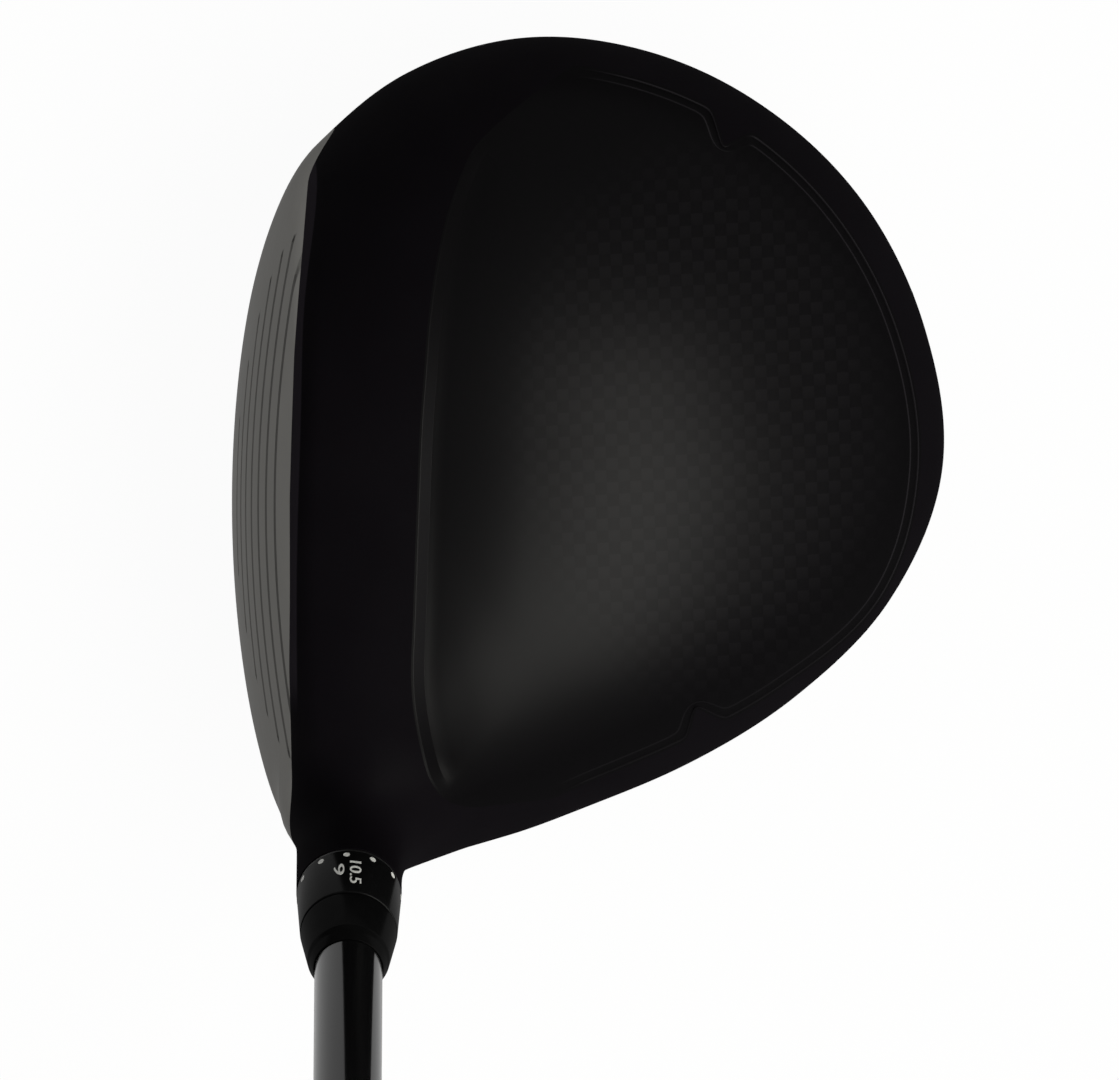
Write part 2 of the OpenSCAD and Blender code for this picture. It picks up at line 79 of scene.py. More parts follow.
def full_turn(count: int) -> Array:
    """Evenly spaced angles of one turn, in radians."""
    return np.arange(count) * 2 * math.pi / count


def eased(values: Array) -> Array:
    """Each value of a closed row mixed with its neighbours."""
    return 0.5 * values + 0.25 * (np.roll(values, 1, axis=0) + np.roll(values, -1, axis=0))


def walked(line: Array) -> Array:
    """Length walked along a line at each of its points."""
    return np.concatenate([[0.0], np.cumsum(np.linalg.norm(np.diff(line, axis=0), axis=-1))])


def inward(line: Array) -> Array:
    """Unit vectors that point into an anticlockwise outline."""
    run = np.roll(line, -1, axis=0) - np.roll(line, 1, axis=0)
    return unit(np.stack([-run[:, 1], run[:, 0]], axis=-1))


def between(a: Array, b: Array, c: Array, d: Array, t: Array) -> Array:
    """Smooth curve from b to c at t, with a before and d after them."""
    square, cube = 2 * a - 5 * b + 4 * c - d, 3 * b - a - 3 * c + d
    return 0.5 * (2 * b + (c - a) * t + square * t**2 + cube * t**3)


def on_loop(values: tuple[float, ...], turn: Array) -> Array:
    """Smooth closed curve through evenly spaced values, at turns of 0 to 1."""
    table = np.array(values)
    u = turn % 1.0 * len(table)
    i = np.floor(u).astype(int)
    return between(*(table[(i + k) % len(table)] for k in (-1, 0, 1, 2)), u - i)


def along(points: tuple[Pair, ...], steps: int) -> Array:
    """Points on a smooth open curve through a few points."""
    p = np.array([points[0], *points, points[-1]])
    shares = np.arange(steps) / steps
    curve = [between(*p[i - 1 : i + 3], t) for i in range(1, len(p) - 2) for t in shares]
    return np.array([*curve, p[-1]])


def fillet(a: Array, b: Array, reach: Array | float) -> Array:
    """Depth of the rounding where two fields meet within a reach."""
    near = np.maximum(reach - np.abs(a - b), 0.0) / reach
    return near**2 * reach / 4


def slope_of(level: Callable[[Array], Array], p: Array, step: float) -> Array:
    """Slope of a field at points, from differences over a step each way."""
    shifts = step * np.eye(3)
    return np.stack([(level(p + d) - level(p - d)) / (2 * step) for d in shifts], axis=-1)


def around(base: Array, axis: Array, r: Array, turn: Array, w: Array) -> Array:
    """Points at a radius, turn and height about an axis in the plane x = const.

    Args:
        base: Point on the axis at height zero.
        axis: Unit vector of the axis.
        r: Radii in millimetres.
        turn: Turns in radians, from the rear toward the toe side.
        w: Heights along the axis.

    Returns:
        Points in head millimetres.
    """
    side = np.cross(axis, ACROSS)
    spoke = np.cos(turn)[..., None] * ACROSS + np.sin(turn)[..., None] * side
    return base + r[..., None] * spoke + w[..., None] * axis


@dataclass(frozen=True)
class Place:
    """Turns head millimetres into the row's metres and holds the two axes.

    Head millimetres start at the leading edge on the ground, with x to the rear,
    y to the toe and z up. The sleeve ends at joint_v along the shaft.
    """

    mouth: Triple = (16.1, -53.7, 52.0)
    hosel_lie: float = 59.5
    sleeve_tilt: float = 1.0
    cross_w: float = 5.6
    joint_v: float = 5.0
    club_l: float = 1149.0
    grip_l: float = 270.0

    @staticmethod
    def _axis(lie: float) -> Array:
        """Unit vector that climbs toward the heel at a lie angle in degrees."""
        a = math.radians(lie)
        return np.array([0.0, -math.cos(a), math.sin(a)])

    @property
    def hosel_dir(self) -> Array:
        """Axis of the hosel."""
        return self._axis(self.hosel_lie)

    @property
    def shaft_dir(self) -> Array:
        """Axis of the shaft."""
        return self._axis(self.hosel_lie - self.sleeve_tilt)

    @property
    def cross(self) -> Array:
        """Point where the two axes cross."""
        return np.array(self.mouth) + self.cross_w * self.hosel_dir

    @property
    def butt_v(self) -> float:
        """End of the club along the shaft, from the crossing."""
        return self.club_l - self.cross[2] / self.shaft_dir[2]

    @property
    def hold(self) -> Array:
        """The row's origin in head millimetres."""
        return self.cross + (self.butt_v - self.grip_l / 2) * self.shaft_dir

    def metres(self, points: Array) -> Array:
        """Row coordinates in metres of points in head millimetres."""
        return (np.asarray(points, dtype=float) - self.hold) * MM

    def head_mm(self, points: Array) -> Array:
        """Head millimetres of points in the row's metres."""
        return points / MM + self.hold


PLACE = Place()


@dataclass(frozen=True)
class HeadForm:
    """Smooth outer form of the head as a field that is negative inside, in millimetres.

    plan_r holds the widest line's distances from the centre, evenly round one turn. neck_taper is
    where the neck starts to narrow downward and how fast, and neck_widening where its blend grows
    from neck_front to neck_blend and over what length. The searches run from inside to outside.
    """

    centre: Pair = (24.0, 5.0)
    plan_r: tuple[float, ...] = (
        74.4, 74.6, 73.5, 70.8, 67.0, 62.0, 55.0, 47.0, 41.5, 41.0, 41.5, 42.0,
        42.0, 42.0, 43.0, 45.0, 49.0, 54.0, 54.0, 52.8, 53.4, 57.0, 62.7, 69.6,
    )
    head_h: float = 58.0
    skirt_side_z: float = 28.0
    skirt_rear_z: float = 24.0
    skirt_ease: float = 10.0
    crown_round: float = 2.2
    crown_side: float = 0.55
    crown_rear: float = 0.72
    sole_round: float = 2.7
    sole_power: float = 0.52
    flattest: float = 0.004
    loft: float = 9.5
    face_r: float = 190.0
    face_mid: Triple = (1.9, -0.3, 28.0)
    edge_round: float = 2.6
    hosel_r: float = 7.3
    stub: float = 4.0
    neck_blend: float = 12.0
    neck_front: float = 6.0
    neck_taper: Pair = (-24.0, 0.34)
    neck_widening: Pair = (6.0, 14.0)
    crown_search: Pair = (24.6, 62.0)
    face_search: Pair = (22.0, -8.0)
    halvings: int = 34
    dome_step: float = 0.04
    step: float = 0.03

    def plan(self, turn: Array) -> Array:
        """Distance of the widest line from the centre at turns in radians."""
        return on_loop(self.plan_r, turn / (2 * math.pi))

    def _dome_level(self, p: Array) -> Array:
        """Level of the crown and sole, zero on the surface."""
        dx, dy, z = p[..., 0] - self.centre[0], p[..., 1] - self.centre[1], p[..., 2]
        turn = np.arctan2(dy, dx)
        share = np.hypot(dx, dy) / self.plan(turn)
        rear = ((1 + np.cos(turn)) / 2) ** 2
        skirt = self.skirt_side_z + (self.skirt_rear_z - self.skirt_side_z) * rear
        power = self.crown_side + (self.crown_rear - self.crown_side) * rear
        up = np.clip((z - skirt) / (self.head_h - skirt), 0.0, None)
        down = np.clip((skirt - z) / skirt, 0.0, None)
        above = ramp(z - skirt, -self.skirt_ease / 2, self.skirt_ease)
        fullness = self.sole_round + (self.crown_round - self.sole_round) * above
        return share**fullness + up ** (1.0 / power) + down ** (1.0 / self.sole_power) - 1.0

    def dome(self, p: Array) -> Array:
        """Rough distance to the crown and sole."""
        slope = np.linalg.norm(slope_of(self._dome_level, p, self.dome_step), axis=-1)
        return self._dome_level(p) / np.maximum(slope, self.flattest)

    @property
    def ball_centre(self) -> Array:
        """Centre of the ball whose front is the bulged and rolled face."""
        a = math.radians(self.loft)
        return np.array(self.face_mid) + self.face_r * np.array([math.cos(a), 0.0, -math.sin(a)])

    def face_x(self, y: Array, z: Array) -> Array:
        """Front of the face's ball at y and z."""
        c = self.ball_centre
        return c[0] - np.sqrt(self.face_r**2 - (y - c[1]) ** 2 - (z - c[2]) ** 2)

    def value(self, p: Array) -> Array:
        """Field of the whole head: the dome, cut by the face, with the neck blended on."""
        face = np.linalg.norm(p - self.ball_centre, axis=-1) - self.face_r
        dome = self.dome(p)
        body = np.maximum(dome, face) + fillet(dome, face, self.edge_round)
        q = p - np.array(PLACE.mouth)
        w = q @ PLACE.hosel_dir
        rad = np.linalg.norm(q - w[..., None] * PLACE.hosel_dir, axis=-1)
        taper_w, taper = self.neck_taper
        hosel = np.maximum(rad - self.hosel_r + taper * np.maximum(taper_w - w, 0.0), w - self.stub)
        wide = ramp(p[..., 0], *self.neck_widening)
        blend = self.neck_front + (self.neck_blend - self.neck_front) * wide
        return np.minimum(body, hosel) - fillet(body, hosel, blend)

    def gradient(self, p: Array) -> Array:
        """Slope of the field."""
        return slope_of(self.value, p, self.step)

    def normals(self, p: Array) -> Array:
        """Unit vectors that point out of the form."""
        return unit(self.gradient(p))

    def _root(self, start: Array, search: Pair, axis: int) -> Array:
        """Surface between an inside and an outside coordinate along one axis.

        Args:
            start: Points whose other two coordinates are kept.
            search: Coordinates of a place inside the head and of one outside it.
            axis: Axis to search along.

        Returns:
            The coordinate on the surface for each point.
        """
        lo, hi = (np.full(start.shape[:-1], end) for end in search)
        p = start.copy()
        for _ in range(self.halvings):
            mid = (lo + hi) / 2
            p[..., axis] = mid
            out = self.value(p) > 0
            lo, hi = np.where(out, lo, mid), np.where(out, mid, hi)
        return (lo + hi) / 2

    def top_z(self, xy: Array) -> Array:
        """Height of the crown over points in plan."""
        return self._root(np.insert(xy, 2, 0.0, axis=-1), self.crown_search, 2)

    def front_x(self, yz: Array) -> Array:
        """Front of the head at points seen from the front."""
        return self._root(np.insert(yz, 0, 0.0, axis=-1), self.face_search, 0)


FORM = HeadForm()


@dataclass
class Solid:
    """Points in head millimetres with the faces that join them."""

    points: Array
    faces: Faces

    def raise_object(self, name: str, sharp: float | None = None) -> Piece:
        """Object of this solid at the row's origin.

        Args:
            name: Name of the object.
            sharp: Angle in degrees beyond which edges stay sharp, or None for a smooth skin.

        Returns:
            The linked object.
        """
        mesh = bpy.data.meshes.new(name)
        mesh.from_pydata(PLACE.metres(self.points).tolist(), [], self.faces)
        mesh.shade_smooth()
        if sharp is not None:
            mesh.set_sharp_from_angle(angle=math.radians(sharp))
        return linked(name, mesh)


def linked(name: str, data: bpy.types.ID) -> Piece:
    """New object of some data, linked to the scene."""
    piece = bpy.data.objects.new(name, data)
    bpy.context.scene.collection.objects.link(piece)
    return piece


def strip(first: int, second: int, columns: int, flip: bool = False) -> Faces:
    """Quads between two closed rows of points that start at two indices."""
    quads = []
    for i in range(columns):
        k = (i + 1) % columns
        quads.append((first + i, first + k, second + k, second + i))
    return [quad[::-1] for quad in quads] if flip else quads


def fan(first: int, columns: int, tip: int, flip: bool = False) -> Faces:
    """Triangles between a closed row of points and one tip."""
    sides = [(first + i, first + (i + 1) % columns, tip) for i in range(columns)]
    return [side[::-1] for side in sides] if flip else sides


def grid_faces(rows: int, columns: int, start: int = 0, flip: bool = False) -> Faces:
    """Quads between rows of points that close round their columns.

    Args:
        rows: Number of rows.
        columns: Points in each row.
        start: Index of the first point.
        flip: Whether the faces look the other way.

    Returns:
        The quads.
    """
    starts = [start + j * columns for j in range(rows)]
    return [quad for a, b in zip(starts, starts[1:]) for quad in strip(a, b, columns, flip)]


def capped(rows: int, columns: int) -> Faces:
    """Faces of a tube that is closed at both ends."""
    last = (rows - 1) * columns
    return grid_faces(rows, columns) + [tuple(range(columns))[::-1], tuple(range(last, last + columns))]


def rod(name: str, base: Array, axis: Array, r: float, low: float, high: float, sides: int = 144) -> Piece:
    """Plain cylinder, used as a cutter.

    Args:
        name: Name of the object.
        base: Point on the axis at height zero.
        axis: Unit vector of the axis.
        r: Radius.
        low: Height of its foot.
        high: Height of its top.
        sides: Number of sides.

    Returns:
        The cylinder.
    """
    first = unit(np.cross(np.array([0.0, 1.0, 0.0]), axis))
    second = np.cross(axis, first)
    turn = full_turn(sides)
    ring = r * (np.cos(turn)[:, None] * first + np.sin(turn)[:, None] * second)
    points = np.concatenate([base + ring + low * axis, base + ring + high * axis])
    return Solid(points, capped(2, sides)).raise_object(name)


def drop(piece: Piece) -> None:
    """Removes an object that was only needed for a while, with its mesh."""
    mesh = piece.data
    bpy.data.objects.remove(piece)
    bpy.data.meshes.remove(mesh)


def settled(piece: Piece) -> Piece:
    """The piece with its modifiers made part of a plain mesh."""
    graph = bpy.context.evaluated_depsgraph_get()
    mesh = bpy.data.meshes.new_from_object(piece.evaluated_get(graph))
    piece.modifiers.clear()
    old, piece.data = piece.data, mesh
    bpy.data.meshes.remove(old)
    mesh.name = piece.name
    return piece


def cut(piece: Piece, *cutters: Piece) -> None:
    """Takes each cutter away from the piece and removes it."""
    for cutter in cutters:
        modifier = piece.modifiers.new("cut", "BOOLEAN")
        modifier.operation = "DIFFERENCE"
        modifier.solver = "MANIFOLD"
        modifier.object = cutter
        settled(piece)
        drop(cutter)


def read(items: bpy.types.bpy_prop_collection, key: str, width: int = 3, kind: type = float) -> Array:
    """One property of every item of a mesh, as rows where it has several parts."""
    values = np.empty(len(items) * width, dtype=kind)
    items.foreach_get(key, values)
    return values.reshape(-1, width) if width > 1 else values


def set_normals(mesh: bpy.types.Mesh, smooth: Array, chosen: Array) -> None:
    """Gives the corners of chosen faces smooth normals and leaves the other faces flat.

    Args:
        mesh: The mesh.
        smooth: Normal for each of its points.
        chosen: Whether each of its faces is smooth.
    """
    owner = np.repeat(np.arange(len(mesh.polygons)), read(mesh.polygons, "loop_total", 1, int))
    corners = read(mesh.loops, "vertex_index", 1, int)
    flat = read(mesh.polygons, "normal")
    mesh.normals_split_custom_set(np.where(chosen[owner][:, None], smooth[corners], flat[owner]).tolist())


def follow_form(piece: Piece, near: float = 0.15, agree: float = 0.6) -> None:
    """Gives the faces that lie on the head's form its own normals, and leaves cut walls flat.

    Args:
        piece: The piece.
        near: Distance from the form up to which a face counts as lying on it.
        agree: Smallest cosine between such a face's normal and the form's.
    """
    mesh = piece.data
    centres = PLACE.head_mm(read(mesh.polygons, "center"))
    facing = (FORM.normals(centres) * read(mesh.polygons, "normal")).sum(-1)
    mesh.shade_smooth()
    smooth = FORM.normals(PLACE.head_mm(read(mesh.vertices, "co")))
    set_normals(mesh, smooth, (np.abs(FORM.value(centres)) < near) & (facing > agree))


@dataclass(frozen=True)
class Nets:
    """Turns a field into a closed skin of quads, one point in each grid cell that the surface crosses."""

    low: Triple = (-3.0, -66.0, -2.0)
    high: Triple = (102.0, 67.0, 62.0)
    pitch: float = 0.9
    slabs: int = 16
    rounds: int = 4
    longest_step: float = 0.3
    least_slope: float = 1e-2

    def _drawn(self, form: HeadForm, points: Array) -> Array:
        """Points drawn onto the form's surface, each only as far as that brings it nearer."""
        for _ in range(self.rounds):
            slope, level = form.gradient(points), form.value(points)
            step = (level / np.maximum((slope**2).sum(-1), self.least_slope))[:, None] * slope
            length = np.maximum(np.linalg.norm(step, axis=-1, keepdims=True), 1e-9)
            trial = points - step * np.minimum(1.0, self.longest_step / length)
            points = np.where((np.abs(form.value(trial)) < np.abs(level))[:, None], trial, points)
        return points

    @staticmethod
    def _quads(axis: int, crossed: Array, leaving: Array, index: Array) -> Faces:
        """Quads round the grid edges of one axis that the surface crosses.

        Args:
            axis: Direction of the edges.
            crossed: Which edges are crossed.
            leaving: Which edges start inside the form.
            index: Point of each cell.

        Returns:
            The quads, looking outward.
        """
        cells = index.shape
        u, v = (axis + 1) % 3, (axis + 2) % 3
        at = np.argwhere(crossed)
        at = at[(at[:, u] > 0) & (at[:, v] > 0) & (at[:, u] < cells[u]) & (at[:, v] < cells[v])]
        ring = []
        for du, dv in ((1, 1), (0, 1), (0, 0), (1, 0)):
            cell = at.copy()
            cell[:, u] -= du
            cell[:, v] -= dv
            ring.append(index[tuple(cell.T)])
        quads = np.stack(ring, axis=-1)
        quads = np.where(leaving[tuple(at.T)][:, None], quads, quads[:, ::-1])
        return list(map(tuple, quads.tolist()))

    def skin(self, form: HeadForm) -> Solid:
        """Closed skin of the form, drawn onto its surface."""
        axes = [np.arange(a, b + self.pitch, self.pitch) for a, b in zip(self.low, self.high)]
        grid = np.stack(np.meshgrid(*axes, indexing="ij"), axis=-1)
        level = np.concatenate([form.value(slab) for slab in np.array_split(grid, self.slabs)])
        cells = np.array(level.shape) - 1
        total, count = np.zeros((*cells, 3)), np.zeros(cells)
        crossings = []
        for axis in range(3):
            lead, tail = [slice(None)] * 3, [slice(None)] * 3
            lead[axis], tail[axis] = slice(None, -1), slice(1, None)
            first, second = level[tuple(lead)], level[tuple(tail)]
            crossed = (first < 0) != (second < 0)
            place = grid[tuple(lead)].copy()
            share = np.where(crossed, first / np.where(crossed, first - second, 1.0), 0.0)
            place[..., axis] += share * self.pitch
            others = [a for a in range(3) if a != axis]
            for shifts in ((0, 0), (0, 1), (1, 0), (1, 1)):
                part = [slice(None)] * 3
                for other, shift in zip(others, shifts):
                    part[other] = slice(shift, cells[other] + shift)
                near = crossed[tuple(part)]
                total += place[tuple(part)] * near[..., None]
                count += near
            crossings.append((axis, crossed, first < 0))
        used = count > 0
        index = np.full(cells, -1)
        index[used] = np.arange(used.sum())
        faces = [quad for crossing in crossings for quad in self._quads(*crossing, index)]
        return Solid(self._drawn(form, total[used] / count[used][:, None]), faces)


@dataclass
class CrownPanel:
    """Composite crown: a groove round its sides and rear, two locating notches and a bevelled step in front.

    seam_turns are the groove's first and last turn about the head's centre and their pitch, in degrees.
    A notch is the turns of its rear foot, its tip and its front foot. The groove nearly closes beside the
    first notch: notch_gap says how far along its rear flank and to what share. Fades are pairs of start
    and length, or lengths alone where they start at an end. edge_rows are distances from the outline.
    """

    middle: Pair = (60.0, 8.0)
    seam_inset: tuple[float, ...] = (
        3.4, 3.8, 4.2, 4.3, 4.5, 4.2, 4.0, 4.0, 4.0, 4.0, 4.0, 4.0,
        4.0, 4.0, 4.0, 4.0, 4.0, 4.0, 3.0, 2.7, 3.4, 3.5, 2.6, 1.4,
    )
    seam_turns: Triple = (-66.0, 67.5, 0.2)
    notches: tuple[Triple, ...] = ((44.3, 45.3, 49.8), (-38.2, -39.3, -44.0))
    notch_depth: float = 4.1
    notch_reach: float = 6.0
    notch_gap: Pair = (1.2, 0.05)
    step_line: tuple[Pair, ...] = (
        (37.6, 53.6), (33.6, 49.2), (30.7, 42.5), (28.75, 34.9), (27.4, 26.0), (26.7, 17.1),
        (26.1, 8.2), (25.3, -14.2), (25.0, -24.7), (26.1, -32.9), (28.6, -42.2),
    )
    step_parts: int = 12
    step_fades: Pair = (13.0, 7.0)
    step_h: float = 0.8
    step_w: float = 1.55
    step_ease: float = 0.03
    hollow_end: float = 0.6
    hollow_rounds: int = 24
    corner: float = 5.5
    corner_rounds: int = 160
    line_rounds: int = 3
    step_rounds: int = 10
    groove_fade: float = 9.0
    groove_w: float = 1.25
    groove_depth: float = 0.35
    groove_side: float = 0.25
    spacing: float = 0.42
    thickness: float = 2.4
    edge_rows: tuple[float, ...] = (
        -0.3, -0.14, -0.05, 0.02, 0.1, 0.2, 0.3, 0.62, 0.98, 1.05,
        1.13, 1.21, 1.3, 1.44, 1.505, 1.52, 1.535, 1.6, 2.0, 2.6,
    )
    inset_step: float = 0.1
    inner_rows: int = 42
    under_rows: tuple[int, ...] = (12, 26)
    # Rows, least share and heel fade of the painted highlight on the groove's edges.
    edge_highlight_rows: tuple[float, ...] = (0.02, 0.1, 1.13, 1.21)
    edge_highlight_least: float = 0.3
    edge_highlight_fade: Pair = (-26.0, 24.0)
    bevel_rows: Pair = (0.05, 1.53)
    bevel_dulling: float = 0.65
    # Heel and toe fades of the painted highlight on the step's bevel.
    sheen_heel: Pair = (-36.0, 16.0)
    sheen_toe: Pair = (2.0, 30.0)
    dulling: float = 0.86
    dull_tilt: Pair = (33.0, 16.0)
    cut_span: Pair = (26.0, 66.0)
    rim: Array = field(default_factory=lambda: np.zeros((0, 2)))

    def _seam(self, turns: Array) -> Array:
        """Outer line of the groove at turns in degrees."""
        a = np.radians(turns)
        r = FORM.plan(a) - on_loop(self.seam_inset, turns / 360.0)
        for near_rear, tip, near_face in self.notches:
            off = turns - tip
            reach = np.where(off * (near_rear - tip) > 0, near_rear - tip, near_face - tip)
            r = r - self.notch_depth * np.clip(1 - off / reach, 0.0, 1.0) * (np.abs(off) < self.notch_reach)
        return np.array(FORM.centre) + r[:, None] * np.stack([np.cos(a), np.sin(a)], axis=-1)

    def _outline(self) -> tuple[Array, Array, Array]:
        """Evenly spaced outline with how strong the groove and the step are along it."""
        start, end, pitch = self.seam_turns
        turns = np.arange(start, end + pitch / 2, pitch)
        seam, step = self._seam(turns), along(self.step_line, self.step_parts)
        near_rear, tip, _ = self.notches[0]
        flank = (turns - tip) / (near_rear - tip)
        gap_end, gap_share = self.notch_gap
        groove = ramp(np.minimum(turns - turns[0], turns[-1] - turns), 0.0, self.groove_fade)
        groove = groove * np.where((flank > 0.0) & (flank < gap_end), gap_share, 1.0)
        run = walked(step)
        strength = ramp(run, 0.0, self.step_fades[0]) * ramp(run[-1] - run, 0.0, self.step_fades[1])
        closed = np.concatenate([seam, step, seam[:1]])
        groove = np.concatenate([groove, np.zeros(len(step)), groove[:1]])
        strength = np.concatenate([np.zeros(len(seam)), strength, [0.0]])
        walk = walked(closed)
        count = int(walk[-1] / self.spacing)
        at = np.arange(count) * walk[-1] / count
        line = np.stack([np.interp(at, walk, closed[:, k]) for k in (0, 1)], axis=-1)
        groove, strength = np.interp(at, walk, groove), np.interp(at, walk, strength)
        near = np.min([np.linalg.norm(line - step[k], axis=-1) for k in (0, -1)], axis=0)
        hold = ramp(self.corner - near, 0.0, 0.5 * self.corner)[:, None]
        for _ in range(self.corner_rounds):
            line = line + hold * (eased(line) - line)
        for _ in range(self.line_rounds):
            line, groove = eased(line), eased(groove)
        for _ in range(self.step_rounds):
            strength = eased(strength)
        return line, groove, strength

    def _rows(self, line: Array, groove: Array, strength: Array) -> tuple[list[Array], list[Array]]:
        """Rows of the upper skin in plan, from the edge inward, with the drop of each.

        Args:
            line: The panel's outline.
            groove: Strength of the groove along it.
            strength: Strength of the step along it.

        Returns:
            The rows and their drops below the crown.
        """
        rows, drops = [], []
        here, depth = line, 0.0
        for d in self.edge_rows:
            if d <= 0:
                row = line + d * inward(line)
            else:
                steps = max(1, math.ceil((d - depth) / self.inset_step))
                for _ in range(steps):
                    here = eased(here + (d - depth) / steps * inward(here))
                row, depth = here, d
            wall = self.groove_side
            channel = ramp(d, 0.0, wall) * (1 - ramp(d, self.groove_w - wall, wall))
            slide = np.clip((d - self.step_ease) / (self.step_w - 2 * self.step_ease), 0.0, 1.0)
            rows.append(row)
            drops.append(self.groove_depth * channel * groove + self.step_h * slide * strength)
        foot, middle = rows[-1], np.array(self.middle)
        for k in range(1, self.inner_rows):
            share = 1.0 - k / self.inner_rows
            rows.append(middle + share * (foot - middle))
            for _ in range(self.hollow_rounds):
                strength = eased(strength)
            rise = max(share - self.hollow_end, 0.0) / (1.0 - self.hollow_end)
            drops.append(self.step_h * strength * rise**2)
        return rows, drops

    def _mark(self, mesh: bpy.types.Mesh, points: Array, line: Array, groove: Array, strength: Array) -> None:
        """Notes where the groove's edges and the bevel get painted highlights and where the coat is polished.

        Args:
            mesh: The panel's mesh.
            points: Its points in head millimetres.
            line: The panel's outline.
            groove: Strength of the groove along it.
            strength: Strength of the step along it.
        """
        columns, y = len(line), line[:, 1]
        # Painted highlight on the step's bevel, strongest mid-way along the step and fading toward heel and
        # toe as the lit area does.
        sheen = strength * ramp(y, *self.sheen_heel) * (1.0 - ramp(y, *self.sheen_toe))
        # Painted highlight on the groove's two edges, dimmer toward the heel where less light falls.
        edge_highlight = groove * (self.edge_highlight_least + (1.0 - self.edge_highlight_least) * ramp(self.rim[:, 1], *self.edge_highlight_fade))
        tilt = np.degrees(np.arccos(np.clip(FORM.normals(points)[:, 2], -1.0, 1.0)))
        marks = {label: np.zeros(len(points)) for label in ("worn_edge", "bevel", "polish")}
        marks["polish"] = 1.0 - self.dulling * ramp(tilt, *self.dull_tilt)
        for k, d in enumerate(self.edge_rows):
            span = slice(k * columns, (k + 1) * columns)
            if d in self.edge_highlight_rows:
                marks["worn_edge"][span] = edge_highlight
            if self.bevel_rows[0] < d < self.bevel_rows[1]:
                marks["bevel"][span] = sheen
                marks["polish"][span] *= 1.0 - self.bevel_dulling * strength * (1.0 - sheen)
        for label, values in marks.items():
            mesh.attributes.new(label, "FLOAT", "POINT").data.foreach_set("value", values)

    def build(self) -> Piece:
        """The panel as one closed skin whose normals meet those of the frame at its edge."""
        line, groove, strength = self._outline()
        rows, drops = self._rows(line, groove, strength)
        self.rim = rows[0]
        columns, edges = len(line), len(self.edge_rows)
        plan = np.concatenate([*rows, [self.middle]])
        crown = FORM.top_z(plan)
        upper = np.column_stack([plan, crown - np.concatenate([*drops, [0.0]])])
        lower = np.column_stack([plan, crown - self.thickness])
        keep = [0, edges - 1, *(edges + k for k in self.under_rows)]
        under = np.concatenate([lower[k * columns : (k + 1) * columns] for k in keep])
        points = np.concatenate([upper, under, lower[-1:]])
        base, foot = len(upper), len(points) - 1
        top = grid_faces(len(rows), columns) + fan((len(rows) - 1) * columns, columns, base - 1)
        rest = grid_faces(len(keep), columns, base, flip=True)
        rest += fan(foot - columns, columns, foot, flip=True) + strip(0, base, columns, flip=True)
        piece = Solid(points, top + rest).raise_object("crown_skin")
        mesh = piece.data
        smooth = read(mesh.vertex_normals, "vector")
        smooth[:columns] = FORM.normals(upper[:columns])
        set_normals(mesh, smooth, np.arange(len(mesh.polygons)) < len(top))
        self._mark(mesh, points, line, groove, strength)
        LOG.info("crown skin: %d points", len(points))
        return piece

    def cutter(self) -> Piece:
        """Prism over the panel's outline that opens the frame under it."""
        ends = [np.insert(self.rim, 2, z, axis=-1) for z in self.cut_span]
        return Solid(np.concatenate(ends), capped(2, len(self.rim))).raise_object("crown_cutter")


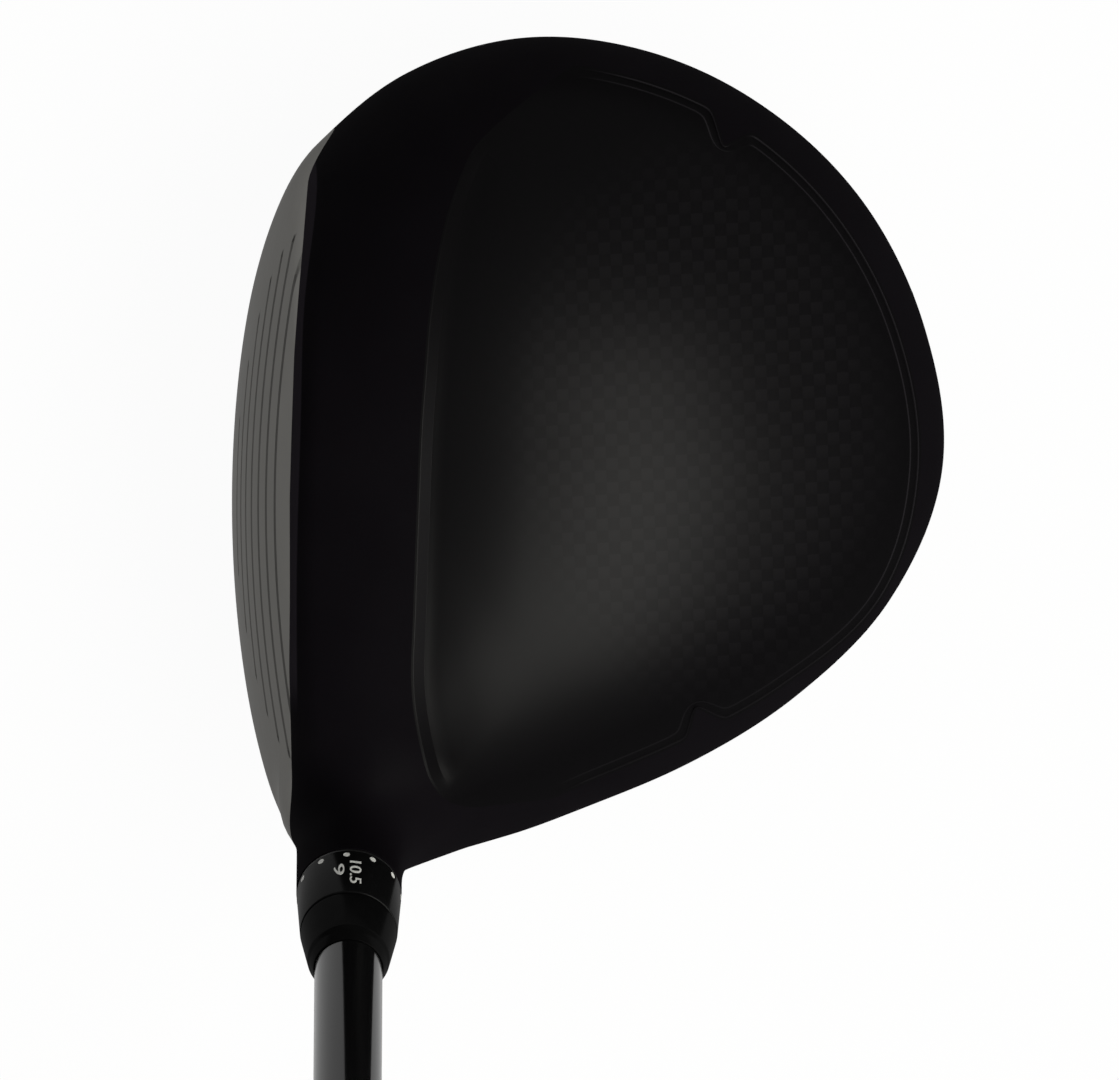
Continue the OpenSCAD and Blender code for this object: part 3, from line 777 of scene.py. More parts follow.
@dataclass
class FacePlate:
    """Bulged, rolled and scored face, flush with the frame's painted edge.

    edge_line holds the x of the painted line at a few y, and paint_from the heights over which the paint
    takes over from the rounded edge. scan is the first and last distance tried for the outline and their
    step, and heel_ease where its heel starts to be eased, over what length and how often.
    """

    middle: Pair = (3.0, 28.65)
    sides: int = 288
    rings: int = 40
    thickness: float = 2.1
    room: float = 0.1
    shrink: float = 0.9994
    cut_x: float = -14.0
    on_form: float = 0.045
    edge_sink: float = 0.35
    edge_line: tuple[Pair, ...] = (
        (-60.0, 8.6), (-46.3, 8.4), (-44.3, 7.95), (-33.7, 8.05), (-23.0, 7.8), (-12.5, 7.9), (1.0, 7.9),
        (10.1, 8.15), (20.8, 8.5), (27.9, 9.0), (36.4, 9.7), (45.7, 10.4), (49.6, 12.4), (53.0, 14.6),
    )
    paint_from: Pair = (16.0, 14.0)
    z_span: Pair = (2.0, 56.0)
    heel_end: float = -48.0
    heel_ease: tuple[float, float, int] = (36.0, 5.0, 14)
    scan: Triple = (6.0, 62.0, 0.5)
    halvings: int = 12
    score_count: int = 7
    score_top: float = 45.8
    score_pitch: float = 4.9
    score_longest: float = 37.0
    score_curve: float = 0.03
    score_y: float = 1.2
    score_w: float = 1.15
    score_depth: float = 0.32
    score_parts: int = 72
    score_tip: float = 0.02
    score_section: tuple[Pair, ...] = (
        (0.62, -1.2), (0.5, 0.0), (0.18, 1.0), (-0.18, 1.0), (-0.5, 0.0), (-0.62, -1.2),
    )
    edge: Array = field(default_factory=lambda: np.zeros((0, 2)))

    def _bare(self, yz: Array) -> Array:
        """Where the metal is bare: in front of the painted line on top and of the rounded edge below."""
        y, z = yz[..., 0], yz[..., 1]
        top = np.interp(y, *np.array(self.edge_line).T)
        low = FORM.face_x(y, z) + self.edge_sink
        limit = low + (top - low) * ramp(z, *self.paint_from)
        return (FORM.front_x(yz) < limit) & (z > self.z_span[0]) & (z < self.z_span[1]) & (y > self.heel_end)

    def _edge(self) -> Array:
        """Outline of the bare metal, seen from the front."""
        turn, middle = full_turn(self.sides), np.array(self.middle)
        ray = np.stack([np.cos(turn), np.sin(turn)], axis=-1)
        reach = np.arange(*self.scan)
        first = np.argmin(self._bare(middle + reach[None, :, None] * ray[:, None, :]), axis=1)
        lo, hi = reach[first - 1], reach[first]
        for _ in range(self.halvings):
            mid = (lo + hi) / 2
            inside = self._bare(middle + mid[:, None] * ray)
            lo, hi = np.where(inside, mid, lo), np.where(inside, hi, mid)
        heel_start, heel_length, heel_rounds = self.heel_ease
        heel = ramp(-middle[0] - lo * ray[:, 0], heel_start, heel_length)
        r = eased(eased(lo))
        for _ in range(heel_rounds):
            r = r + heel * (eased(r) - r)
        return middle + r[:, None] * ray

    def _solid(self, name: str, share: float, front: float | None, back: float) -> Piece:
        """Closed plate inside a share of the edge, from the front to a depth.

        Args:
            name: Name of the object.
            share: Size of the outline as a share of the edge.
            front: Flat front of a cutter, or None for the real surface.
            back: Depth of the back behind the surface.

        Returns:
            The plate.
        """
        mid, n = np.array(self.middle), self.sides
        shares = share * np.linspace(1.0, 1.0 / self.rings, self.rings)
        yz = np.concatenate([*(mid + s * (self.edge - mid) for s in shares), [mid]])
        x = FORM.front_x(yz)
        face = x if front is None else np.full(len(yz), front)
        points = np.concatenate([np.column_stack([face, yz]), np.column_stack([x + back, yz])])
        half, last = len(yz), (self.rings - 1) * n
        faces = grid_faces(self.rings, n, 0, flip=True) + grid_faces(self.rings, n, half)
        faces += fan(last, n, half - 1, flip=True) + fan(half + last, n, 2 * half - 1) + strip(0, half, n)
        return Solid(points, faces).raise_object(name)

    def _bar(self, z: float) -> Piece:
        """Cutter for one score line, bent along the face and pointed in section."""
        half = self.score_longest - self.score_curve * (self.score_top - z) ** 2
        y = np.linspace(-half, half, self.score_parts) + self.score_y
        taper = np.sqrt(np.clip((half - np.abs(y - self.score_y)) / self.score_w, self.score_tip, 1.0))
        rows = []
        for dz, dx in self.score_section:
            height = z + dz * self.score_w * taper
            rows.append(np.stack([FORM.face_x(y, height) + dx * self.score_depth, y, height], axis=-1))
        points = np.stack(rows, axis=1).reshape(-1, 3)
        return Solid(points, capped(len(y), len(rows))).raise_object("score_cutter")

    def build(self) -> Piece:
        """The scored plate."""
        self.edge = self._edge()
        piece = self._solid("face_skin", self.shrink, None, self.thickness)
        cut(piece, *(self._bar(self.score_top - k * self.score_pitch) for k in range(self.score_count)))
        follow_form(piece, self.on_form)
        LOG.info("face skin: %d faces", len(piece.data.polygons))
        return piece

    def cutter(self) -> Piece:
        """Solid that makes room for the plate in the frame."""
        return self._solid("face_cutter", 1.0, self.cut_x, self.thickness + self.room)


@dataclass
class Turned:
    """A turned piece: a closed profile of radii and heights, swept about an axis.

    square_top holds the height from which the piece leans and over what length, so that its top ends
    square to the shaft.
    """

    name: str
    base: Array
    axis: Array
    profile: list[Pair]
    soften: float
    square_top: Pair | None = None
    sides: int = 128
    arc: int = 4
    sharp: float = 38.0
    soften_share: float = 0.45

    def _softened(self) -> list[Pair]:
        """Profile with its corners rounded off."""
        ring = [np.array(p) for p in self.profile]
        points: list[Pair] = []
        for i, here in enumerate(ring):
            a, b = ring[i - 1] - here, ring[(i + 1) % len(ring)] - here
            reach = min(self.soften, *(self.soften_share * np.linalg.norm(side) for side in (a, b)))
            start, end = here + reach * unit(a), here + reach * unit(b)
            for t in np.linspace(0.0, 1.0, self.arc):
                points.append(tuple((1 - t) ** 2 * start + 2 * t * (1 - t) * here + t**2 * end))
        return points

    def build(self) -> Piece:
        """The piece in the row's frame."""
        rings = np.array(self._softened())
        r, w = (np.repeat(column, self.sides) for column in rings.T)
        turn = np.tile(full_turn(self.sides), len(rings))
        if self.square_top:
            start, length = self.square_top
            top = PLACE.cross + PLACE.joint_v * PLACE.shaft_dir
            flat = around(self.base, self.axis, r, turn, np.zeros_like(w))
            level = ((top - flat) @ PLACE.shaft_dir) / (self.axis @ PLACE.shaft_dir)
            w = w + np.clip((w - start) / length, 0.0, 1.0) * (level - start - length)
        points = around(self.base, self.axis, r, turn, w)
        last = (len(rings) - 1) * self.sides
        faces = grid_faces(len(rings), self.sides) + strip(last, 0, self.sides)
        LOG.info("%s: %d faces", self.name, len(faces))
        return Solid(points, faces).raise_object(self.name, self.sharp)


class Wire:
    """A node's socket that can stand in sums and products."""

    def __init__(self, graph: "Graph", socket: bpy.types.NodeSocket | None) -> None:
        """Keeps the socket and the graph that it belongs to."""
        self.graph = graph
        self.socket = socket

    def __add__(self, other: "Wire | float") -> "Wire":
        """Sum."""
        return self.graph.math("ADD", self, other)

    __radd__ = __add__

    def __mul__(self, other: "Wire | float") -> "Wire":
        """Product."""
        return self.graph.math("MULTIPLY", self, other)

    __rmul__ = __mul__

    def __sub__(self, other: "Wire | float") -> "Wire":
        """Difference."""
        return self.graph.math("SUBTRACT", self, other)

    def __rsub__(self, other: float) -> "Wire":
        """Difference from a number."""
        return self.graph.math("SUBTRACT", other, self)

    def __truediv__(self, other: "Wire | float") -> "Wire":
        """Quotient."""
        return self.graph.math("DIVIDE", self, other)

    def span(self, low: float, high: float) -> "Wire":
        """Low where this is zero and high where it is one."""
        return low + (high - low) * self

    def ramp(self, start: float, end: float) -> "Wire":
        """Eased 0 to 1 from start to end."""
        links = ("Value", self), ("From Min", start), ("From Max", end)
        return self.graph.node("ShaderNodeMapRange", *links, interpolation_type="SMOOTHSTEP")


class Graph:
    """Node tree of a material, of the world or of a repeat."""

    def __init__(self, tree: bpy.types.NodeTree) -> None:
        """Empties the tree."""
        self.tree = tree
        tree.nodes.clear()

    def node(self, kind: str, *links: tuple[object, object], out: int | str = 0, **settings: object) -> Wire:
        """One node with its inputs linked or set.

        Args:
            kind: Blender's name of the node type.
            links: Pairs of input key and a Wire or plain value.
            out: Output to hand back.
            settings: Attributes of the node.

        Returns:
            The chosen output, empty for a node that has none.
        """
        node = self.tree.nodes.new(kind)
        for key, value in settings.items():
            setattr(node, key, value)
        for key, source in links:
            if isinstance(source, Wire):
                self.tree.links.new(source.socket, node.inputs[key])
            else:
                node.inputs[key].default_value = source
        return Wire(self, node.outputs[out] if len(node.outputs) else None)

    def taps(self, kind: str, *links: tuple[object, object]) -> dict[str, Wire]:
        """All outputs of a new node, by name."""
        node = self.node(kind, *links).socket.node
        return {output.name: Wire(self, output) for output in node.outputs if output.name}

    def math(self, operation: str, *values: "Wire | float") -> Wire:
        """One step of arithmetic."""
        return self.node("ShaderNodeMath", *enumerate(values), operation=operation)

    def place(self) -> Wire:
        """Coordinates of the row in metres."""
        return self.node("ShaderNodeTexCoord", out="Object")

    def head_mm(self) -> list[Wire]:
        """The three coordinates in head millimetres."""
        axes = self.taps("ShaderNodeSeparateXYZ", ("Vector", self.place())).values()
        return [axis * (1.0 / MM) + float(start) for axis, start in zip(axes, PLACE.hold)]

    def noise(self, scale: Triple | float, detail: float = 3.0) -> Wire:
        """Noise of 0 to 1, with one scale or one for each axis, in cycles per metre."""
        scales = scale if isinstance(scale, tuple) else (scale, scale, scale)
        spot = self.node("ShaderNodeVectorMath", (0, self.place()), (1, scales), operation="MULTIPLY")
        return self.node("ShaderNodeTexNoise", ("Vector", spot), ("Scale", 1.0), ("Detail", detail))

    def tinted(self, tone: Wire, green: float = 1.0, blue: float = 1.0) -> Wire:
        """Colour of a tone, with its green and blue as shares of its red."""
        return self.node("ShaderNodeCombineColor", (0, tone), (1, tone * green), (2, tone * blue))

    def mix(self, share: Wire, low: Triple, high: Triple) -> Wire:
        """Colour between two colours."""
        links = (0, share), (6, (*low, 1.0)), (7, (*high, 1.0))
        return self.node("ShaderNodeMix", *links, out=2, data_type="RGBA", clamp_factor=True)

    def bump(self, height: Wire, strength: float, distance: float = BUMP) -> Wire:
        """Normal bent by a height."""
        return self.node("ShaderNodeBump", ("Height", height), ("Strength", strength), ("Distance", distance))


class Look(Graph):
    """Node tree of one material."""

    def __init__(self, name: str) -> None:
        """Starts an empty material."""
        self.material = bpy.data.materials.new(name)
        self.material.use_nodes = True
        super().__init__(self.material.node_tree)

    def ends_in(self, shader: Wire) -> Material:
        """The material, with this shader as its surface."""
        self.node("ShaderNodeOutputMaterial", ("Surface", shader))
        return self.material

    def close(self, **inputs: object) -> Material:
        """The material, with a principled surface of these inputs."""
        links = ((key.replace("_", " "), value) for key, value in inputs.items())
        return self.ends_in(self.node("ShaderNodeBsdfPrincipled", *links))


class Copies:
    """Geometry Nodes group that repeats one template in rows and columns round an axis."""

    INPUTS = {
        "Template": "Object", "Rows": "Int", "Columns": "Int", "Row step": "Vector", "Column angle": "Float",
        "Stagger": "Float", "Axis": "Vector", "Pivot": "Vector", "Finish": "Material",
    }

    def __init__(self) -> None:
        """Makes the node group."""
        self.group = bpy.data.node_groups.new("copies_round_axis", "GeometryNodeTree")
        sides = self.group.interface
        self.sockets: dict[str, str] = {}
        for label, kind in self.INPUTS.items():
            socket = sides.new_socket(label, in_out="INPUT", socket_type=f"NodeSocket{kind}")
            self.sockets[label] = socket.identifier
        sides.new_socket("Geometry", in_out="OUTPUT", socket_type="NodeSocketGeometry")
        self._wire()

    def _wire(self) -> None:
        """Links points at the origin to a copy on each, moved along its row and turned into its column."""
        g = Graph(self.group)
        take = g.taps("NodeGroupInput")
        spots = ("Count", take["Rows"] * take["Columns"]), ("Offset", (0.0, 0.0, 0.0))
        points = g.node("GeometryNodeMeshToPoints", ("Mesh", g.node("GeometryNodeMeshLine", *spots)))
        shape = g.node("GeometryNodeObjectInfo", ("Object", take["Template"]), out="Geometry")
        copies = g.node("GeometryNodeInstanceOnPoints", ("Points", points), ("Instance", shape))
        index = g.node("GeometryNodeInputIndex")
        row = g.math("FLOOR", index / take["Columns"])
        column = g.math("MODULO", index, take["Columns"])
        travel = g.node("ShaderNodeVectorMath", (0, take["Row step"]), ("Scale", row), operation="SCALE")
        fixed = ("Local Space", False)
        shift = ("Translation", travel), fixed
        moved = g.node("GeometryNodeTranslateInstances", ("Instances", copies), *shift)
        angle = column * take["Column angle"] + g.math("MODULO", row, 2.0) * take["Stagger"]
        turn = g.node("FunctionNodeAxisAngleToRotation", ("Axis", take["Axis"]), ("Angle", angle))
        swing = ("Rotation", turn), ("Pivot Point", take["Pivot"]), fixed
        turned = g.node("GeometryNodeRotateInstances", ("Instances", moved), *swing)
        real = g.node("GeometryNodeRealizeInstances", ("Geometry", turned))
        dressed = g.node("GeometryNodeSetMaterial", ("Geometry", real), ("Material", take["Finish"]))
        g.node("NodeGroupOutput", ("Geometry", dressed))

    def build(self, name: str, template: Piece, finish: Material, **inputs: object) -> Piece:
        """One plain mesh of all copies; the template is removed.

        Args:
            name: Name of the new piece.
            template: Object whose mesh is repeated, in the row's frame.
            finish: Material of the copies.
            inputs: Other inputs of the group, with underscores for spaces.

        Returns:
            The piece.
        """
        piece = linked(name, bpy.data.meshes.new(name))
        modifier = piece.modifiers.new("copies", "NODES")
        modifier.node_group = self.group
        for label, value in {"Template": template, "Finish": finish, **inputs}.items():
            modifier[self.sockets[label.replace("_", " ")]] = value
        settled(piece)
        drop(template)
        LOG.info("%s: %d faces", name, len(piece.data.polygons))
        return piece


@dataclass(frozen=True)
class Paint:
    """Satin black paint with orange peel and a painted highlight: a paler strip on the rounded edge along the
    top of the face.

    The painted highlight lies band_depth deep behind the face's ball and band_toe deeper at the toe, which
    starts and ends at toe_y. It fades out over heel_y. A gain is the least and greatest share that a noise
    gives.
    """

    tone: float = 0.0037
    rough: float = 0.5
    grain: float = 0.0008
    coat: float = 0.022
    coat_rough: float = 0.46
    peel: float = 0.04
    # Tone of the painted highlight on the rounded edge above the face.
    painted_edge_light: float = 0.0145
    band_rough: float = 0.06
    band_depth: float = 0.5
    band_toe: float = 1.3
    toe_y: Pair = (12.0, 47.0)
    heel_y: Pair = (-29.5, -23.0)
    band_start: Pair = (-0.2, 0.1)
    band_edge: float = 0.08
    cloud_scale: float = 90.0
    cloud_gain: Pair = (0.85, 1.15)
    coat_gain: Pair = (0.8, 1.2)
    grain_scale: float = 2600.0
    grain_rough: Pair = (-0.03, 0.03)
    hue: Pair = (0.84, 1.1)

    def _edge_light_mask(self, g: Look) -> Wire:
        """One on the painted edge highlight and zero beside it."""
        centre = tuple(float(v) for v in PLACE.metres(FORM.ball_centre))
        reach = g.node("ShaderNodeVectorMath", (0, g.place()), (1, centre), out="Value", operation="DISTANCE")
        depth = (FORM.face_r * MM - reach) * (1.0 / MM)
        _, y, _ = g.head_mm()
        toe = y.ramp(*self.toe_y)
        past = depth - self.band_depth - self.band_toe * toe * toe
        before = 1.0 - past.ramp(-self.band_edge, self.band_edge)
        return before * depth.ramp(*self.band_start) * y.ramp(*self.heel_y)

    def make(self, name: str) -> Material:
        """Material of this paint."""
        g = Look(name)
        cloud, grain, edge_light_share = g.noise(self.cloud_scale), g.noise(self.grain_scale, 2.0), self._edge_light_mask(g)
        # Painted highlight: the rounded edge above the face is lightened in the base colour.
        tone = self.tone * cloud.span(*self.cloud_gain) + self.grain * grain + self.painted_edge_light * edge_light_share
        return g.close(
            Base_Color=g.tinted(tone, *self.hue),
            Roughness=self.rough + grain.span(*self.grain_rough) + self.band_rough * edge_light_share,
            Specular_IOR_Level=0.0, Coat_Weight=self.coat * cloud.span(*self.coat_gain),
            Coat_Roughness=self.coat_rough, Normal=g.bump(grain, self.peel),
        )


@dataclass(frozen=True)
class Composite:
    """Clear-coated plain weave that fades out toward the panel's edges.

    tow holds the tows' widths, skew how far each set runs off square and wander how far it strays.
    The weave shows on an oval round patch and fades over shares of patch_reach. even_shift keeps the
    count of tows above zero. relief_mix weighs the swell, the upper tows and the fibres.
    """

    tow: Pair = (1.62, 1.66)
    skew: Pair = (0.035, -0.06)
    wander: float = 0.5
    patch: Pair = (64.0, 11.5)
    patch_reach: Pair = (28.0, 40.0)
    patch_fade: Pair = (0.66, 1.08)
    dark: float = 0.0028
    pale: float = 0.0052
    fibre: float = 0.0008
    rough: float = 0.5
    coat: float = 0.17
    coat_rough: float = 0.38
    # Tones of the painted highlights on the groove's edges and on the step's bevel.
    edge_highlight: float = 0.011
    bevel: float = 0.0026
    sheen: float = 0.05
    relief: float = 0.05
    relief_mix: Triple = (0.6, 0.4, 0.3)
    even_shift: float = 200.0
    stray_scale: float = 45.0
    fibre_scale: float = 1500.0
    fibre_rough: Pair = (-0.02, 0.02)
    over_rough: float = 0.05
    tow_gain: Pair = (0.4, 1.0)
    tow_swell: float = 0.2
    hue: Pair = (0.92, 1.06)

    def make(self, name: str) -> Material:
        """Material of this weave."""
        g = Look(name)
        x, y, _ = g.head_mm()
        stray = self.wander * (g.noise(self.stray_scale, 1.0) - 0.5)
        u = (x + self.skew[0] * y + stray) / self.tow[0]
        v = (y + self.skew[1] * x + stray) / self.tow[1]
        over = g.math("MODULO", g.math("FLOOR", u) + g.math("FLOOR", v) + self.even_shift, 2.0)
        across, up = g.math("FRACT", u), g.math("FRACT", v)
        swell = over * g.math("SINE", up * math.pi) + (1.0 - over) * g.math("SINE", across * math.pi)
        far = [(axis - mid) * (1.0 / reach) for axis, mid, reach in zip((x, y), self.patch, self.patch_reach)]
        seen = 1.0 - g.math("SQRT", far[0] * far[0] + far[1] * far[1]).ramp(*self.patch_fade)
        fibre = g.noise(self.fibre_scale, 2.0)
        weave = over * (up * up).span(*self.tow_gain) + self.tow_swell * swell
        tone = self.dark + seen * (self.pale - self.dark) * weave + self.fibre * fibre
        polish, edge_highlight, bevel = (
            g.node("ShaderNodeAttribute", out="Fac", attribute_name=label)
            for label in ("polish", "worn_edge", "bevel")
        )
        # Painted highlights: the groove's edges and the step's bevel are lightened in the base colour.
        tone = tone + self.edge_highlight * edge_highlight + self.bevel * bevel
        by_swell, by_tow, by_fibre = self.relief_mix
        height = seen * (by_swell * swell + by_tow * over) + by_fibre * fibre
        return g.close(
            Base_Color=g.tinted(tone, *self.hue), Specular_IOR_Level=0.0,
            Roughness=self.rough - self.over_rough * seen * over + fibre.span(*self.fibre_rough),
            Coat_Weight=self.coat * polish * (1.0 + self.sheen * seen * (over - 0.5)),
            Coat_Roughness=self.coat_rough, Normal=g.bump(height, self.relief),
        )


@dataclass(frozen=True)
class Metal:
    """Bare metal, brushed along the face or turned in fine rings, with darker score lines if it has any."""

    colour: Triple
    rough: float = 0.38
    brush: Triple | float = 2500.0
    depth: float = 0.08
    edge: float = 1.0
    score_darkening: float = 0.0
    score_side: float = 0.06
    score_end: float = 0.2
    score_first: float = 0.01
    brush_share: float = 0.65
    brush_rough: Pair = (-0.08, 0.08)
    cloud_scale: float = 70.0
    gains: Pair = (0.8, 1.15)

    def _scores(self, g: Look) -> Wire:
        """One inside the face's score lines and zero beside them."""
        plate = FacePlate()
        _, y, z = g.head_mm()
        below = plate.score_top - z
        turn = below * (1.0 / plate.score_pitch) + 0.5
        off = g.math("ABSOLUTE", g.math("FRACT", turn) - 0.5) * plate.score_pitch
        past = g.math("ABSOLUTE", y - plate.score_y) - plate.score_longest + plate.score_curve * below * below
        first, last, half = self.score_first, plate.score_count, plate.score_w / 2
        among = turn.ramp(0.0, first) * (1.0 - turn.ramp(last - first, last))
        beside = off.ramp(half - self.score_side, half + self.score_side)
        return (1.0 - beside) * (1.0 - past.ramp(-self.score_end, self.score_end)) * among

    def make(self, name: str) -> Material:
        """Material of this metal."""
        g = Look(name)
        lines, cloud = g.noise(self.brush, 4.0), g.noise(self.cloud_scale)
        low, high = (tuple(min(gain * c, 1.0) for c in self.colour) for gain in self.gains)
        colour = g.mix(self.brush_share * lines + (1.0 - self.brush_share) * cloud, low, high)
        if self.score_darkening > 0:
            # The colour is darkened inside the score lines.
            shade = 1.0 - self.score_darkening * self._scores(g)
            colour = g.node("ShaderNodeVectorMath", (0, colour), ("Scale", shade), operation="SCALE")
        return g.close(
            Base_Color=colour, Metallic=1.0, Roughness=self.rough + lines.span(*self.brush_rough),
            Specular_Tint=(self.edge, self.edge, self.edge, 1.0), Normal=g.bump(lines, self.depth),
        )


@dataclass(frozen=True)
class Gloss:
    """Gloss black over fibre or metal: a faint streak under a clear coat."""

    tone: float = 0.004
    rough: float = 0.12
    streak: Triple | float = (1400.0, 60.0, 60.0)
    coat: float = 0.62
    coat_gain: Pair = (0.94, 1.0)
    streak_gain: Pair = (0.7, 1.3)
    hue: Pair = (1.0, 1.05)
    speck_scale: float = 3500.0
    speck_depth: float = 0.01
    under_rough: Pair = (0.4, 0.5)

    def make(self, name: str) -> Material:
        """Material of this gloss."""
        g = Look(name)
        fibre, speck = g.noise(self.streak), g.noise(self.speck_scale, 1.0)
        tone = self.tone * fibre.span(*self.streak_gain)
        return g.close(
            Base_Color=g.tinted(tone, *self.hue), Roughness=speck.span(*self.under_rough),
            Specular_IOR_Level=0.0, Coat_Weight=self.coat * fibre.span(*self.coat_gain),
            Coat_Roughness=self.rough, Normal=g.bump(speck, self.speck_depth, FINE_BUMP),
        )


@dataclass(frozen=True)
class Rubber:
    """Moulded rubber or plastic with a fine pitted skin."""

    tone: float = 0.012
    rough: float = 0.72
    pits: float = 1800.0
    pit_depth: float = 0.12
    dust_scale: float = 60.0
    dust_gain: Pair = (0.75, 1.25)
    dust_rough: Pair = (-0.06, 0.06)

    def make(self, name: str) -> Material:
        """Material of this rubber."""
        g = Look(name)
        pit = g.node("ShaderNodeTexVoronoi", ("Vector", g.place()), ("Scale", self.pits))
        dust = g.noise(self.dust_scale, 4.0)
        return g.close(
            Base_Color=g.tinted(self.tone * dust.span(*self.dust_gain)),
            Roughness=self.rough + dust.span(*self.dust_rough), Normal=g.bump(pit, self.pit_depth),
        )


@dataclass(frozen=True)
class Ink:
    """White printing ink or pale paper, with a slightly uneven lay."""

    colour: Triple = (0.78, 0.78, 0.76)
    rough: float = 0.5
    thin: float = 0.86
    lay_scale: float = 2200.0
    lay_rough: float = 0.1
    lay_depth: float = 0.03

    def make(self, name: str) -> Material:
        """Material of this ink."""
        g = Look(name)
        lay = g.noise(self.lay_scale, 2.0)
        return g.close(
            Base_Color=g.mix(lay, tuple(self.thin * c for c in self.colour), self.colour),
            Roughness=self.rough + self.lay_rough * lay, Normal=g.bump(lay, self.lay_depth, FINE_BUMP),
        )


class Style(Enum):
    """Finishes of the club, by slot of the record; the ink has none."""

    FRAME = ("frame_black", Paint())
    FACE = ("face_metal", Metal((0.2, 0.196, 0.186), 0.46, (2200.0, 45.0, 2200.0), 0.1, 0.36, 0.3))
    CROWN = ("crown_composite", Composite())
    TUBE = ("tube_metal", Metal((0.5, 0.5, 0.52), 0.32))
    WASHER = ("washer_metal", Metal((0.58, 0.58, 0.6), 0.3))
    RETAINER = ("retainer_plastic", Rubber(0.03, 0.5, 2600.0))
    SCREW = ("screw_metal", Metal((0.34, 0.34, 0.36), 0.34))
    PORT = ("port_metal", Metal((0.09, 0.09, 0.095), 0.42))
    WEIGHT = ("weight_metal", Metal((0.3, 0.3, 0.31), 0.4))
    RING = ("ring_rubber", Rubber(0.006, 0.55, 3000.0))
    SLEEVE = ("sleeve_black", Gloss(0.004, 0.18, 900.0, 0.14))
    FERRULE = ("ferrule_black", Gloss(0.003, 0.2, 700.0, 0.06))
    SHAFT = ("shaft_black", Gloss())
    TAPE = ("tape_cream", Ink((0.7, 0.66, 0.52), 0.7))
    GRIP = ("grip_rubber", Rubber())
    INK = (None, Ink())

    def __init__(self, slot: str | None, finish: Paint | Composite | Metal | Gloss | Rubber | Ink) -> None:
        """Keeps the slot's name and what makes its material."""
        self.slot = slot
        self.finish = finish


class Wardrobe:
    """Materials, each made once."""

    def __init__(self) -> None:
        """Makes the material of every style."""
        self.materials = {s: s.finish.make(f"{s.slot}_look" if s.slot else "white_ink") for s in Style}

    def wear(self, piece: Piece, style: Style, body: Body, *nodes: str) -> None:
        """Puts a finish on a piece and lets it ride on a body.

        Args:
            piece: The piece.
            style: Its finish.
            body: Body that carries it.
            nodes: CAD nodes that it stands for.
        """
        piece.data.materials.clear()
        piece.data.materials.append(self.materials[style])
        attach(piece, body.value)
        if nodes:
            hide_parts(*nodes)
        LOG.info("%s rides on %s", piece.name, body.value)

    def keep(self, node: str, style: Style) -> None:
        """Gives a CAD node that stays its material."""
        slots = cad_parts[node].data.materials
        slots.clear()
        slots.append(self.materials[style])
        LOG.info("%s keeps its CAD shape", node)


@dataclass
class DriverHead:
    """Frame, crown panel and face plate of the head.

    Spans are the lowest and highest height of a cutter along its own axis.
    """

    crown: CrownPanel = field(default_factory=CrownPanel)
    face: FacePlate = field(default_factory=FacePlate)
    nets: Nets = field(default_factory=Nets)
    bore_r: float = 6.8
    bore_span: Pair = (-80.0, 12.0)
    trim_r: float = 15.0
    trim_span: Pair = (0.0, 14.0)
    weight_at: Triple = (78.0, 5.0, 5.935)
    weight_lean: float = 19.1766
    weight_bore: float = 8.55
    weight_span: Pair = (-9.0, 9.6)

    def build(self, wardrobe: Wardrobe) -> None:
        """Builds and dresses the three skins of the head."""
        crown = self.crown.build()
        face = self.face.build()
        shell = self.nets.skin(FORM).raise_object("frame_skin")
        LOG.info("frame skin: %d faces", len(shell.data.polygons))
        mouth, axis = np.array(PLACE.mouth), PLACE.hosel_dir
        lean = math.radians(self.weight_lean)
        into_sole = np.array([-math.sin(lean), 0.0, math.cos(lean)])
        cut(
            shell,
            self.crown.cutter(),
            self.face.cutter(),
            rod("bore_cutter", mouth, axis, self.bore_r, *self.bore_span),
            rod("trim_cutter", mouth, axis, self.trim_r, *self.trim_span),
            rod("weight_cutter", np.array(self.weight_at), into_sole, self.weight_bore, *self.weight_span),
        )
        follow_form(shell)
        wardrobe.wear(shell, Style.FRAME, Body.HEAD, "head_frame")
        wardrobe.wear(crown, Style.CROWN, Body.HEAD, "crown_panel")
        wardrobe.wear(face, Style.FACE, Body.HEAD, "face_plate")


